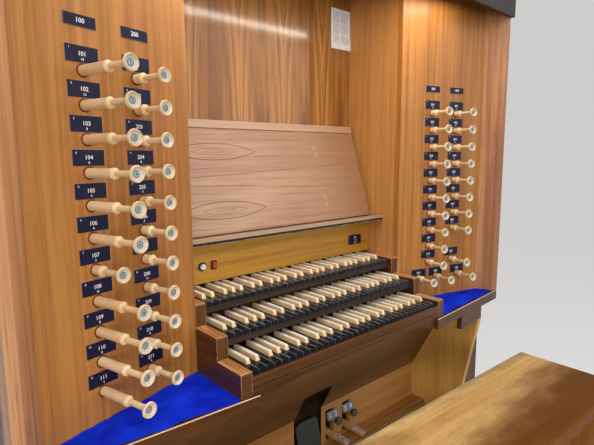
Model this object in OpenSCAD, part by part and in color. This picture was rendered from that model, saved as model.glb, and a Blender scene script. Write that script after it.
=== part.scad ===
// Attached console of a pipe organ, with pedalboard and bench.
// Millimetres, +Z up, +Y into the case, the player sits on the -Y side.
// The origin is on the floor, under the middle of the whole outline.
// The key datum is the middle of the front top edge of the lowest manual's sharps:
// every piece of the console is placed from it.

/* [Key datum] */
// Height of the lowest manual's sharps above the floor
datum_h = 872; // [850:1:900]

/* [Manuals] */
// Distance between the centres of two naturals
natural_pitch = 23.5; // [23:0.1:23.8]
// Gap between two keys
key_gap = 0.9; // [0.6:0.1:1.2]
// Length of a natural in front of the sharps
natural_head = 43; // [42:1:50]
// Thickness of a natural
natural_t = 11; // [9:1:14]
// Length of a key behind the sharps' front edge
key_tail = 110; // [105:1:115]
// Height of a sharp above the naturals
sharp_rise = 12; // [10:0.5:13]
// Width of a sharp at its foot
sharp_w = 12.5; // [11:0.5:13]
// Taper of a sharp, from its foot to its top, on each side
sharp_taper = 1.5; // [0.5:0.5:2.5]
// Forward slope of a sharp's front face
sharp_slope = 5; // [3:1:7]
// Length of a sharp
sharp_l = 95; // [92:1:104]
// Rise from one manual to the next
manual_rise = 58.4; // [56:0.2:64]
// Set back of each manual behind the one below
manual_back = 98.6; // [96:0.2:102]
// Thickness of the beds that carry the upper manuals
key_bed_t = 18; // [14:1:20]

/* [Key desk] */
// Thickness of a cheek
cheek_t = 32; // [26:1:36]
// Play between the end keys and the cheeks
cheek_play = 2.2; // [1:0.2:4]
// Height of the cheeks above the naturals beside them
cheek_rise = 4; // [2:0.5:6]
// Reach of the cheeks in front of the naturals
cheek_reach = 9; // [6:1:12]
// Edge radius of the cheeks
cheek_r = 6; // [3:1:10]
// Depth of the shelf top below the datum
shelf_drop = 66; // [62:1:70]
// Thickness of the shelves
shelf_t = 37; // [30:1:42]
// Distance of the shelf front before the datum at its inner end
shelf_front = 62; // [58:1:68]
// How far the shelf front falls back towards its outer end
shelf_fall = 33; // [20:1:36]
// Length of the shelf front that runs inward under the cheek
shelf_return = 47; // [40:1:56]
// Depth of the straight middle of the key slip's lower edge below the shelf top
slip_drop = 2; // [1:1:10]
// Half width of the straight middle, before the edge curves down to the shelves
slip_straight = 225; // [200:5:260]
// Thickness of the key slip and of the front boards
slip_t = 18; // [14:1:20]
// Set back of the key slip behind the fronts of the cheeks
slip_set = 1; // [0.5:0.5:3]
// Gap between the key slip and the naturals above it
slip_gap = 1; // [0.5:0.5:2]
// Bevel along the key slip's top edge
slip_bevel = 2; // [1:0.5:4]
// Height of the groove along the key slip's face
groove_h = 2.5; // [1.5:0.5:4]
// Depth of the groove
groove_d = 3; // [2:0.5:5]
// Distance of the groove's middle below the key slip's top
groove_drop = 26.5; // [22:0.5:30]
// Thickness of the keybed's front edge
keybed_edge = 5; // [4:1:10]
// Length of the bevel under the keybed's front edge
keybed_bevel = 63; // [50:1:80]
// Thickness of the felt on the shelves
felt_t = 2; // [1:0.5:4]
// Clearance round the felt
felt_gap = 0.3; // [0.2:0.1:1]
// Width of the bare lip in front of the felt
lip_w = 5; // [3:1:10]
// Set back of the upper key beds behind the fronts of their naturals
bed_set = 4; // [2:1:8]
// Width of the rails under the lowest manual
key_rail_w = 24; // [18:1:30]

/* [Nameboard and desk] */
// Distance of the nameboard behind the datum
nameboard_y = 281; // [276:1:284]
// Height of the nameboard's lower edge above the top manual's sharps
nameboard_gap = 3; // [2:0.5:6]
// Height of the nameboard's top above the datum
nameboard_top = 243; // [236:1:250]
// Thickness of the nameboard
nameboard_t = 20; // [16:1:24]
// Thickness of the desk ledge
ledge_t = 13; // [10:1:18]
// Overhang of the desk ledge in front of the nameboard
ledge_reach = 68; // [50:1:80]
// Height of the rim along the ledge's front edge
ledge_rim = 6; // [4:1:10]
// Height of the music desk along its slope
desk_l = 348; // [320:1:356]
// Lean of the music desk from the vertical
desk_lean = 18; // [12:0.5:19]
// Thickness of the music desk
desk_t = 12; // [9:1:14]
// Distance of the music desk's foot before the nameboard
desk_foot = 17; // [14:1:22]
// Gap between the music desk and each side of the niche
desk_side_gap = 16; // [8:1:24]
// Height of the raised band along the music desk's top
desk_band_h = 26; // [20:1:32]
// Thickness of the raised band
desk_band_t = 4; // [2:0.5:6]
// Height of the switches' middle below the middle of the nameboard
switch_drop = 12; // [6:1:18]
// Middle of the push button, left of the console's middle
button_x = 318; // [312:1:324]
// Radius of the push button
button_r = 8.5; // [7:0.5:10]
// Middle of the rocker switch, left of the console's middle
switch_x = 280; // [276:1:286]
// Width of the rocker switch
switch_w = 18; // [15:1:22]
// Height of the rocker switch
switch_h = 26; // [22:1:30]
// Middle of the blank plate, right of the console's middle
plate_x = 337; // [330:1:344]
// Width of the blank plate
plate_w = 68; // [60:1:74]
// Height of the blank plate
plate_h = 36; // [30:1:40]

/* [Niche and case] */
// Depth of the jambs' inner edges behind the datum
jamb_y = 143; // [135:1:150]
// Splay of the jambs from the width of the case
jamb_splay = 15.2; // [13:0.1:17]
// Width of a jamb along its face
jamb_w = 399; // [380:1:410]
// Thickness of the case panels
panel_t = 20; // [16:1:22]
// Thickness of the niche's back and returns
niche_t = 18; // [14:1:20]
// Depth of the back panel's face behind the datum
niche_y = 388; // [384:1:398]
// Depth of the whole console behind the datum
case_y = 430; // [424:1:440]
// Height of the case above the datum
case_top_z = 1090; // [1070:2:1120]
// Height of the lintel's lower edge above the datum
lintel_z = 993; // [980:1:1005]
// Width of a stile across the opening
stile_w = 39; // [30:1:46]
// Depth of a stile's splayed face
stile_d = 67; // [58:1:74]
// Thickness of a stile's outer side
stile_side = 20; // [16:1:24]
// Thickness of the lintel
lintel_t = 16; // [12:1:20]
// Width of the lamp housing
lamp_w = 42; // [30:1:50]
// Height of the lamp housing
lamp_h = 14; // [10:1:24]
// Length of the lamp housing
lamp_l = 1200; // [900:10:1240]
// Radius of the lamp's tube
tube_r = 13; // [8:0.5:14]
// Gap between the tube and the housing
tube_gap = 2; // [1:0.5:4]
// Length of a socket at each end of the tube
socket_l = 16; // [12:1:24]
// Width of a socket
socket_w = 22; // [18:1:28]
// Distance of the lamp housing behind the lintel
lamp_set = 25; // [10:1:40]
// Set back of the lower case behind the outer corners of the jambs
case_set = 7; // [0:1:20]
// Depth of the shelves behind the outer corners of the jambs
shelf_lap = 37; // [28:1:44]

/* [Knee space] */
// Half width of the knee space
knee_half = 700; // [690:1:715]
// Thickness of a knee side
knee_side_t = 24; // [20:1:28]
// Depth of the kneeboard behind the datum, under the keybed
knee_y = 83; // [76:1:90]
// Depth of the toe board behind the datum
toe_y = 253; // [245:1:260]
// Height of the kneeboard's lower edge above the floor
toe_top_z = 450; // [438:1:462]
// Height of the toe rail's top above the floor
toe_rail_z = 303; // [292:1:312]
// Width of the toe rail's ledge
toe_ledge_w = 63; // [55:1:70]
// Height of the toe rail
toe_rail_h = 110; // [100:1:120]
// Depth of an apron below the shelf
apron_h = 47; // [40:1:55]
// Length of an apron
apron_l = 165; // [150:1:180]
// Slant of an apron's inner end
apron_slant = 8; // [4:1:14]
// Slope of a knee side's front edge, in degrees from the vertical
knee_slope = 11.3; // [9:0.1:12]
// Radius of a toe stud
stud_r = 15; // [12:1:16]
// Length of a toe stud
stud_l = 18; // [14:1:22]
// Distance of a toe stud to the right of its coupler pedal
stud_side = 30; // [29:1:36]
// Height of a toe stud above its coupler pedal
stud_lift = 35; // [30:1:40]

/* [Stops] */
// Radius of a stop's shank
shank_r = 10; // [9:0.5:11]
// Clearance between a shank and its hole
shank_gap = 0.5; // [0.3:0.1:0.8]
// Radius of a stop's neck
neck_r = 6; // [5:0.5:7]
// Radius of a stop's head
head_r = 16; // [14:0.5:18]
// Width of the rim round the dish in a stop's head
head_rim = 2; // [1.6:0.1:3]
// Depth of the dish in a stop's head
dish_d = 6; // [4:0.5:6.5]
// Radius of the flat bottom of the dish
dish_r = 8; // [7:0.1:9]
// Height of a drawn stop's face above the jamb
stop_out = 144.5; // [140:0.5:150]
// Travel of a stop
stop_travel = 55; // [48:1:58]
// Length of the shank that shows when the stop is drawn
shank_out = 80; // [76:1:84]
// Length of the shank behind the jamb when the stop is drawn
shank_tail = 25; // [15:1:40]
// Height of the top row of the left jamb above the datum
left_row_z = 644; // [630:1:660]
// Distance between two rows of the left jamb
left_row_pitch = 64.4; // [60:0.2:66]
// Height of the top row of the right jamb above the datum
right_row_z = 635; // [625:1:650]
// Distance between two rows of the right jamb
right_row_pitch = 61.9; // [58:0.1:63]
// Distance of the left jamb's inner column from its inner edge
left_inner_u = 144; // [135:1:155]
// Distance of the left jamb's outer column from its inner edge
left_outer_u = 267; // [255:1:280]
// Distance of the right jamb's inner column from its inner edge
right_inner_u = 145; // [138:1:155]
// Distance of the right jamb's outer column from its inner edge
right_outer_u = 261; // [250:1:272]
// Height of the coupler row of the right jamb above the datum
coupler_z = 18; // [10:1:20]
// Distances of the three couplers from the right jamb's inner edge
coupler_u = [101, 185, 295]; // [90:1:305]

/* [Pedals] */
// Distance between the centres of two pedal naturals
pedal_pitch = 64; // [62:0.5:66]
// Width of a pedal key
pedal_w = 24; // [22:1:26]
// Thickness of a pedal key
pedal_t = 23; // [20:1:26]
// Height of the pedal naturals above the floor
pedal_h = 110; // [100:1:120]
// Height of a pedal sharp above the pedal naturals
pedal_sharp_rise = 35; // [30:1:40]
// Length of the raised part of a pedal sharp
pedal_sharp_l = 200; // [180:1:215]
// Radius of a pedal sharp's nose
pedal_nose_r = 14; // [10:1:18]
// Fall of a pedal sharp's top towards its rear end
pedal_sharp_fall = 6; // [2:1:10]
// Drop of a pedal sharp's low part below the pedal naturals
pedal_low = 4; // [2:1:8]
// Run of the slope at the foot of a pedal sharp's nose
pedal_nose_run = 6; // [3:1:10]
// How much a pedal sharp is narrower than a pedal natural, on each side
pedal_sharp_inset = 1; // [0.5:0.5:3]
// Reach of the pedals under the toe rail
pedal_lap = 30; // [20:1:40]
// Room between the last pedal key and the side of the pedal frame
pedal_side = 14; // [10:1:20]
// Height of the pedal frame's sides above the pedal naturals
pedal_cheek = 12; // [6:1:18]
// Distance of the heel rail before the datum
heel_y = 430; // [420:1:440]
// Width of a rail of the pedal frame
pedal_rail_w = 30; // [24:1:36]
// Set back of the pedal keys behind the front of the heel rail
pedal_set = 6; // [2:1:12]
// Width of the swell pedal
swell_w = 108; // [100:1:112]
// Length of the swell pedal
swell_l = 240; // [230:1:250]
// Thickness of the swell pedal
swell_t = 16; // [12:1:20]
// Corner radius of the swell pedal
swell_r = 22; // [14:1:30]
// Height of the swell pedal's slot above the kneeboard's lower edge
swell_slot_h = 106; // [90:1:115]
// Depth of the swell pedal's top edge below the kneeboard's lower edge
swell_drop = 25; // [15:1:35]
// Set back of the swell pedal's top edge behind the toe board's face
swell_set = 9; // [4:1:14]
// Distance of the swell pedal's shaft from its top edge
swell_pivot_s = 149; // [140:1:156]
// Distance of the swell pedal's shaft behind its tread
swell_pivot_y = 34; // [28:1:40]
// Room on each side of the swell pedal
swell_gap = 12; // [10:1:14]
// Thickness of the bearings that hold the swell pedal's shaft
bearing_t = 6; // [4:0.5:7]
// Radius of the swell pedal's shaft
shaft_r = 7; // [5:0.5:8]
// Radial play of the shaft and of the pins
pin_play = 0.1; // [0.05:0.01:0.1]
// Middle of the swell pedal, right of the console's middle
swell_x = 68; // [60:1:76]
// Slope of the swell pedal from the vertical, closed
swell_lean = 12; // [9:0.5:15]
// Half width and half height of a bearing
bearing_r = 18; // [14:1:22]
// Middle of the first coupler pedal, right of the console's middle
coupler_1_x = 184; // [178:1:190]
// Middle of the second coupler pedal, right of the console's middle
coupler_2_x = 272; // [266:1:278]
// Width of a coupler pedal
lever_w = 24; // [20:1:28]
// Thickness of a coupler pedal's arm
lever_t = 10; // [8:1:12]
// Height of a coupler pedal above the toe rail
lever_lift = 33; // [31:1:36]
// Reach of a coupler pedal before the toe board
lever_reach = 88; // [80:1:95]
// Reach of a coupler pedal behind the toe board's face
lever_back = 70; // [60:1:80]
// Thickness of a coupler pedal's steel tread
tread_t = 5; // [3:1:6]
// Distance of the tread's rear end before the toe board
tread_gap = 27; // [20:1:40]
// Corner cut of the tread
tread_corner = 5; // [3:1:8]
// Margin of the tread over the arm
tread_margin = 2; // [1:0.5:4]
// Radius of a coupler pedal's pin
pin_r = 3; // [2.5:0.5:4]
// Distance of the pin from the arm's rear end
pin_set = 15; // [10:1:20]
// Height of a lever slot above the coupler pedal
lever_slot_up = 92; // [80:1:96]
// Depth of a lever slot below the coupler pedal
lever_slot_down = 22; // [18:1:26]
// Room on the left of a coupler pedal in its slot
lever_room_left = 16; // [8:1:20]
// Room on the right of a coupler pedal in its slot
lever_room_right = 5; // [5:1:8]
// Thickness of a bracket's side
bracket_t = 6; // [4:1:8]
// Half height of a bracket
bracket_h = 14; // [11:1:18]

/* [Bench] */
// Height of the bench
bench_h = 640; // [600:1:680]
// Length of the bench
bench_l = 1400; // [1360:2:1440]
// Depth of the bench
bench_d = 320; // [300:2:340]
// Thickness of the bench's top
bench_t = 35; // [28:1:40]
// Distance from the datum to the middle of the bench
bench_y = 330; // [320:1:345]
// Turn of the loose bench, in degrees
bench_turn = 2.5; // [0:0.1:3]
// Thickness of a bench end
bench_end_t = 34; // [28:1:38]
// Inset of a bench end from the end of the top
bench_inset = 26; // [20:1:34]
// Height of the stretcher's lower edge above the floor
stretcher_z = 330; // [300:5:360]
// Height of the bench's stretcher
stretcher_h = 110; // [90:1:130]
// Thickness of the bench's stretcher
stretcher_t = 24; // [20:1:28]
// Edge radius of the bench's top
bench_r = 6; // [3:1:9]
// Set back of the ends from the edges of the bench's top
bench_foot = 10; // [4:1:20]
// Height of the straight foot and of the straight head of a bench end
bench_square = 70; // [50:5:100]
// Depth of the curved waist of a bench end
bench_waist = 38; // [20:1:46]

/* [Hidden] */
$fn = 48;

// Keys of one manual: four octaves and five naturals more
OCTAVE_NATURALS = 7;
OCTAVE_SHARPS = 5;
NATURALS = 33;
SHARPS = 23;
// Centres of the five sharps of an octave, in natural pitches from the left edge of C
SHARP_AT = [0.903, 2.097, 3.854, 5, 6.146];
keys_w = NATURALS * natural_pitch;
cheek_x = keys_w / 2 + cheek_play;
niche_x = cheek_x + cheek_t;

// Keys of the pedalboard: two octaves and four naturals more
PEDAL_NATURALS = 18;
PEDAL_SHARPS = 12;
// Places of the five pedal sharps of an octave, in pitches from the middle of C
PEDAL_SHARP_AT = [0.5, 1.5, 3.5, 4.5, 5.5];

// Outer corner of the jamb's face, and the sides of the case
jamb_end_x = niche_x + jamb_w * cos(jamb_splay);
jamb_end_y = jamb_y - jamb_w * sin(jamb_splay);
stile_front_x = jamb_end_x + stile_w;
stile_front_y = jamb_end_y - stile_d;
case_x = stile_front_x + stile_side;
case_front_y = jamb_end_y + case_set;
roof_z = case_top_z - panel_t;

// Front edge of the shelves: a straight line that falls back outward
shelf_inner_x = niche_x - shelf_return;
shelf_bottom = -shelf_drop - shelf_t;
shelf_slope = atan(shelf_fall / (case_x - shelf_inner_x));
function shelf_y(x) = -shelf_front + (x - shelf_inner_x) * tan(shelf_slope);
shelf_back_y = jamb_end_y + shelf_lap;

// Front and back of the key slip
slip_y = slip_set - natural_head - cheek_reach;
slip_back_y = slip_y + slip_t;

// Face of the jamb as a line in the plan
function jamb_face_y(x) = jamb_y - (x - niche_x) * tan(jamb_splay);

// Places that follow from the bench and the case: the outline's middle is the origin
bench_reach = bench_y + bench_d / 2 * cos(bench_turn) + bench_l / 2 * sin(bench_turn);
datum_y = (bench_reach - case_y) / 2;
pedal_z = pedal_h - datum_h;
toe_top = toe_top_z - datum_h;
toe_rail_top = toe_rail_z - datum_h;
pedal_half = (PEDAL_NATURALS - 1) / 2 * pedal_pitch + pedal_w / 2 + pedal_side;

// Draws from the key datum
module at_datum() {
  translate([0, datum_y, datum_h]) children();
}

// Draws the right-hand piece for side 1 and its mirror image for side -1
module on_side(side) {
  if (side > 0) children();
  else mirror([1, 0, 0]) children();
}

// Draws a piece and its mirror image
module both_sides() {
  for (side = [-1, 1]) on_side(side) children();
}

// A box from its low corner to its high corner
module box(low, high) {
  translate(low) cube(high - low);
}

// An outline in the Y-Z plane, from x0 to x1
module along_x(x0, x1) {
  translate([x0, 0, 0]) rotate([90, 0, 90]) linear_extrude(x1 - x0) children();
}

// Points of a quarter circle about a centre, from a start angle, clockwise
function arc_cw(c, r, start, steps = 4) =
  [for (i = [0:steps]) let (a = start - i * 90 / steps) [c[0] + r * cos(a), c[1] + r * sin(a)]];

// Case

// Plan of the right jamb, and its holes
module jamb_board() {
  back = panel_t / cos(jamb_splay);
  lift = [panel_t * sin(jamb_splay), panel_t * cos(jamb_splay)];
  translate([0, 0, -shelf_drop]) linear_extrude(roof_z + shelf_drop) polygon([
    [niche_x, jamb_y],
    [jamb_end_x, jamb_end_y],
    [jamb_end_x + lift[0], jamb_end_y + lift[1]],
    [niche_x, jamb_y + back]
  ]);
}

// Frame of the right jamb: X along its face from the inner edge, Y out of its face towards
// the back, Z up
module on_jamb() {
  translate([niche_x, jamb_y, 0]) rotate([0, 0, -jamb_splay]) children();
}

function left_rows() = [for (i = [0:10]) left_row_z - i * left_row_pitch];
function right_rows() = [for (i = [0:9]) right_row_z - i * right_row_pitch];

// Places of the stops on each jamb: distance along the face and height
left_outer = [for (z = left_rows()) [left_outer_u, z]];
left_inner = [for (z = left_rows()) [left_inner_u, z]];
right_inner = [for (z = right_rows()) [right_inner_u, z]];
// The outer column has no stop in its ninth row
EMPTY_ROW = 8;
right_outer = [for (i = [0:9]) if (i != EMPTY_ROW) [right_outer_u, right_rows()[i]]];
right_couplers = [for (u = coupler_u) [u, coupler_z]];
right_places = concat(right_inner, right_outer, right_couplers);

module stop_holes(places) {
  for (p = places) on_jamb() translate([p[0], -1, p[1]]) rotate([-90, 0, 0])
    cylinder(h = panel_t + 2, r = shank_r + shank_gap);
}

module left_jamb() {
  color("peru") at_datum() on_side(-1) difference() {
    jamb_board();
    stop_holes(concat(left_outer, left_inner));
  }
}

module right_jamb() {
  color("peru") at_datum() difference() {
    jamb_board();
    stop_holes(right_places);
  }
}

module stiles() {
  back_y = jamb_end_y + panel_t * cos(jamb_splay);
  color("sienna") at_datum() both_sides()
    translate([0, 0, -shelf_drop]) linear_extrude(roof_z + shelf_drop) polygon([
      [jamb_end_x, jamb_end_y],
      [stile_front_x, stile_front_y],
      [case_x, stile_front_y],
      [case_x, back_y],
      [jamb_end_x + panel_t * sin(jamb_splay), back_y]
    ]);
}

module lintel() {
  color("#3b2a1e") at_datum()
    box([-case_x, stile_front_y - lintel_t, lintel_z], [case_x, stile_front_y, case_top_z]);
}

module back_panel() {
  color("saddlebrown") at_datum()
    box([-niche_x, niche_y, -shelf_drop], [niche_x, niche_y + niche_t, roof_z]);
}

module returns() {
  front_y = jamb_y + panel_t / cos(jamb_splay);
  color("peru") at_datum() both_sides()
    box([niche_x, front_y, -shelf_drop], [niche_x + niche_t, niche_y + niche_t, roof_z]);
}

module case_sides() {
  upper_y = jamb_end_y + panel_t * cos(jamb_splay);
  color("sienna") at_datum() both_sides() along_x(case_x - panel_t, case_x) polygon([
    [case_front_y, -datum_h],
    [case_front_y, shelf_bottom],
    [shelf_back_y, shelf_bottom],
    [shelf_back_y, -shelf_drop],
    [upper_y, -shelf_drop],
    [upper_y, roof_z],
    [case_y, roof_z],
    [case_y, -datum_h]
  ]);
}

module lower_fronts() {
  color("sienna") at_datum() both_sides()
    box([knee_half + knee_side_t, case_front_y, -datum_h],
        [case_x - panel_t, case_front_y + slip_t, shelf_bottom]);
}

module case_back() {
  color("sienna") at_datum()
    box([-case_x + panel_t, case_y - slip_t, -datum_h], [case_x - panel_t, case_y, roof_z]);
}

module case_top() {
  color("sienna") at_datum()
    box([-case_x, stile_front_y, roof_z], [case_x, case_y, case_top_z]);
}

// Lamp housing with a tube between two sockets
module console_lamp() {
  half = lamp_l / 2;
  middle_y = stile_front_y + lamp_set + lamp_w / 2;
  tube_z = roof_z - lamp_h - tube_gap - tube_r;
  color("whitesmoke") at_datum() translate([0, middle_y, 0]) union() {
    box([-half, -lamp_w / 2, roof_z - lamp_h], [half, lamp_w / 2, roof_z]);
    for (x = [-half, half - socket_l])
      box([x, -socket_w / 2, tube_z - tube_r], [x + socket_l, socket_w / 2, roof_z - lamp_h / 2]);
    translate([socket_l / 2 - half, 0, tube_z]) rotate([0, 90, 0])
      cylinder(h = lamp_l - socket_l, r = tube_r);
  }
}

// Key desk

// Keybed, bevelled below its front edge so that it stays behind the key slip
module keybed() {
  color("sienna") at_datum() along_x(-niche_x, niche_x) polygon([
    [slip_back_y, -shelf_drop], [niche_y, -shelf_drop], [niche_y, shelf_bottom],
    [slip_back_y + keybed_bevel, shelf_bottom], [slip_back_y, -shelf_drop - keybed_edge]
  ]);
}

slip_top = -sharp_rise - natural_t - slip_gap;

// Section of the key slip, down to the bottom of the shelves
module slip_section() {
  groove_z = slip_top - groove_drop;
  polygon([
    [slip_back_y, shelf_bottom], [slip_back_y, slip_top],
    [slip_y + slip_bevel, slip_top], [slip_y, slip_top - slip_bevel],
    [slip_y, groove_z + groove_h / 2], [slip_y + groove_d, groove_z + groove_h / 2],
    [slip_y + groove_d, groove_z - groove_h / 2], [slip_y, groove_z - groove_h / 2],
    [slip_y, shelf_bottom]
  ]);
}

// Lower edge of the key slip on the right: it leaves the straight middle and curves down
SLIP_STEPS = 12;
SLIP_POWER = 1.5;
slip_low = -shelf_drop - slip_drop;
slip_curve = [
  for (i = [0:SLIP_STEPS]) let (s = i / SLIP_STEPS) [
    slip_straight + s * (shelf_inner_x - slip_straight),
    slip_low + (shelf_bottom - slip_low) * pow(s, SLIP_POWER)
  ]
];

// Front view of the key slip: it stands on the shelves beside the cheeks
module slip_front() {
  right = concat(slip_curve, [
    [shelf_inner_x, -shelf_drop], [cheek_x, -shelf_drop], [cheek_x, slip_top]
  ]);
  polygon(concat(right, [for (i = [len(right) - 1:-1:0]) [-right[i][0], right[i][1]]]));
}

module key_slip() {
  color("peru") at_datum() intersection() {
    along_x(-cheek_x, cheek_x) slip_section();
    translate([0, slip_back_y, 0]) rotate([90, 0, 0]) linear_extrude(slip_t) slip_front();
  }
}

// Beds of the upper manuals, and the two rails that the lowest manual lies on
module key_beds() {
  under = -sharp_rise - natural_t;
  color("#3d2817") at_datum() {
    for (m = [1, 2])
      translate([0, m * manual_back, m * manual_rise])
        box([-cheek_x, bed_set - natural_head, under - key_bed_t], [cheek_x, key_tail, under]);
    for (y = [slip_back_y, key_tail - key_rail_w])
      box([-cheek_x, y, -shelf_drop], [cheek_x, y + key_rail_w, under]);
  }
}

function cheek_z(m) = m * manual_rise - sharp_rise + cheek_rise;
function cheek_y(m) = m * manual_back - natural_head - cheek_reach;

module cheeks() {
  r = cheek_r;
  color("peru") at_datum() both_sides() along_x(cheek_x, cheek_x + cheek_t) polygon(concat(
    [[cheek_y(0), -shelf_drop]],
    [for (m = [0:2]) each concat(
      m == 0 ? [] : [[cheek_y(m), cheek_z(m - 1)]],
      arc_cw([cheek_y(m) + r, cheek_z(m) - r], r, 180)
    )],
    [[nameboard_y, cheek_z(2)], [nameboard_y, -shelf_drop]]
  ));
}

// Centre of a sharp, from the left edge of the lowest natural
function sharp_c(i) =
  (floor(i / OCTAVE_SHARPS) * OCTAVE_NATURALS + SHARP_AT[i % OCTAVE_SHARPS]) * natural_pitch;

// Edge of a natural's tail beside the boundary of two naturals: dir is 1 to the boundary's
// right and -1 to its left. A sharp that lies over the boundary pushes the edge away.
function tail_edge(boundary, dir) =
  let (over = [
    for (i = [0:SHARPS - 1]) if (abs(sharp_c(i) - boundary) < natural_pitch / 2) sharp_c(i)
  ])
  len(over) == 0 ? boundary + dir * key_gap / 2 : over[0] + dir * (sharp_w / 2 + key_gap);

module naturals() {
  notch = sharp_slope + key_gap;
  translate([-keys_w / 2, 0, -sharp_rise - natural_t]) for (i = [0:NATURALS - 1]) {
    left = i * natural_pitch;
    right = left + natural_pitch;
    tail_left = tail_edge(left, 1);
    tail_right = tail_edge(right, -1);
    union() {
      box([left + key_gap / 2, -natural_head, 0], [right - key_gap / 2, -notch, natural_t]);
      box([tail_left, -notch - 1, 0], [tail_right, key_tail, natural_t]);
    }
  }
}

module sharp() {
  foot = -sharp_rise - natural_t;
  half = sharp_w / 2;
  intersection() {
    along_x(-half, half) polygon([
      [-sharp_slope, foot], [-sharp_slope, -sharp_rise], [0, 0], [sharp_l, 0], [sharp_l, foot]
    ]);
    translate([0, sharp_l, 0]) rotate([90, 0, 0]) linear_extrude(sharp_l + sharp_slope) polygon([
      [-half, foot], [-half, -sharp_rise], [sharp_taper - half, 0], [half - sharp_taper, 0],
      [half, -sharp_rise], [half, foot]
    ]);
  }
}

module sharps() {
  for (i = [0:SHARPS - 1]) translate([sharp_c(i) - keys_w / 2, 0, 0]) sharp();
}

module at_manual(m) {
  at_datum() translate([0, m * manual_back, m * manual_rise]) children();
}

module manual_1_naturals() { color("#101010") at_manual(0) naturals(); }
module manual_1_sharps() { color("ivory") at_manual(0) sharps(); }
module manual_2_naturals() { color("#101010") at_manual(1) naturals(); }
module manual_2_sharps() { color("ivory") at_manual(1) sharps(); }
module manual_3_naturals() { color("#101010") at_manual(2) naturals(); }
module manual_3_sharps() { color("ivory") at_manual(2) sharps(); }

nameboard_bottom = 2 * manual_rise + nameboard_gap;

module nameboard() {
  color("goldenrod") at_datum()
    box([-niche_x, nameboard_y, nameboard_bottom],
        [niche_x, nameboard_y + nameboard_t, nameboard_top]);
}

// Push button in its bezel on the left, rocker switch beside it, blank plate on the right
module nameboard_switches() {
  z = (nameboard_bottom + nameboard_top) / 2 - switch_drop;
  bezel_t = 4;
  bezel_w = 4.5;
  button_l = 9;
  plate_t = 3;
  color("#202020") at_datum() translate([0, nameboard_y, z]) {
    translate([-button_x, 0, 0]) rotate([90, 0, 0]) {
      cylinder(h = bezel_t, r = button_r + bezel_w);
      cylinder(h = button_l, r = button_r);
    }
    translate([-switch_x, 0, 0])
      box([-switch_w / 2, -bezel_t, -switch_h / 2], [switch_w / 2, 0, switch_h / 2]);
    translate([plate_x, 0, 0])
      box([-plate_w / 2, -plate_t, -plate_h / 2], [plate_w / 2, 0, plate_h / 2]);
  }
}

module desk_ledge() {
  front = nameboard_y - ledge_reach;
  rim_t = 8;
  color("peru") at_datum() along_x(-niche_x, niche_x) polygon([
    [front, nameboard_top], [front, nameboard_top + ledge_t + ledge_rim],
    [front + rim_t, nameboard_top + ledge_t + ledge_rim], [front + rim_t, nameboard_top + ledge_t],
    [nameboard_y + nameboard_t, nameboard_top + ledge_t], [nameboard_y + nameboard_t, nameboard_top]
  ]);
}

module music_desk() {
  half = niche_x - desk_side_gap;
  color("burlywood") at_datum()
    translate([0, nameboard_y - desk_foot, nameboard_top + ledge_t + desk_t * sin(desk_lean)])
      rotate([-desk_lean, 0, 0]) union() {
        box([-half, 0, 0], [half, desk_t, desk_l]);
        box([-half, -desk_band_t, desk_l - desk_band_h], [half, desk_t / 2, desk_l]);
      }
}

// Shelves

module shelf_plan() {
  polygon([
    [shelf_inner_x, -shelf_front],
    [case_x, shelf_y(case_x)],
    [case_x, shelf_back_y],
    [case_x - panel_t, shelf_back_y],
    [niche_x, shelf_back_y + (case_x - panel_t - niche_x) * tan(jamb_splay)],
    [niche_x, slip_back_y],
    [shelf_inner_x, slip_back_y]
  ]);
}

module shelves() {
  color("sienna") at_datum() both_sides()
    translate([0, 0, shelf_bottom]) linear_extrude(shelf_t) shelf_plan();
}

module felt_piece() {
  inner = cheek_x + cheek_t + felt_gap;
  outer = jamb_end_x + stile_w * 0.5;
  translate([0, 0, felt_gap - shelf_drop]) linear_extrude(felt_t) polygon([
    [inner, shelf_y(inner) + lip_w],
    [outer, shelf_y(outer) + lip_w],
    [jamb_end_x - 1, jamb_end_y - felt_gap],
    [inner, jamb_face_y(inner) - felt_gap * 2]
  ]);
}

module left_felt() { color("royalblue") at_datum() on_side(-1) felt_piece(); }
module right_felt() { color("royalblue") at_datum() felt_piece(); }

// Knee space

knee_run = toe_y - knee_y;
knee_drop = shelf_bottom - toe_top;
board_t = slip_t * sqrt(knee_run * knee_run + knee_drop * knee_drop) / knee_drop;
swell_half = swell_w / 2 + swell_gap;

// Room that the swell pedal needs through the boards
module swell_slot() {
  translate([swell_x, 0, 0])
    box([-swell_half, 0, -datum_h], [swell_half, case_y - slip_t - 1, toe_top + swell_slot_h]);
}

module kneeboard() {
  color("darkkhaki") at_datum() difference() {
    along_x(-knee_half, knee_half) polygon([
      [knee_y, shelf_bottom], [toe_y, toe_top],
      [toe_y + board_t, toe_top], [knee_y + board_t, shelf_bottom]
    ]);
    swell_slot();
  }
}

lever_z = lever_lift + toe_rail_top;

// Sides of a lever slot, from the middle of its coupler pedal
slot_left = -lever_w / 2 - lever_room_left;
slot_right = lever_w / 2 + lever_room_right;

module lever_slots() {
  for (x = [coupler_1_x, coupler_2_x])
    box([x + slot_left, toe_y - 1, lever_z - lever_t - lever_slot_down],
        [x + slot_right, toe_y + slip_t + 1, lever_z + lever_slot_up]);
}

module toe_board() {
  color("khaki") at_datum() difference() {
    box([-knee_half, toe_y, toe_rail_top - toe_rail_h], [knee_half, toe_y + slip_t, toe_top]);
    swell_slot();
    lever_slots();
  }
}

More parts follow.
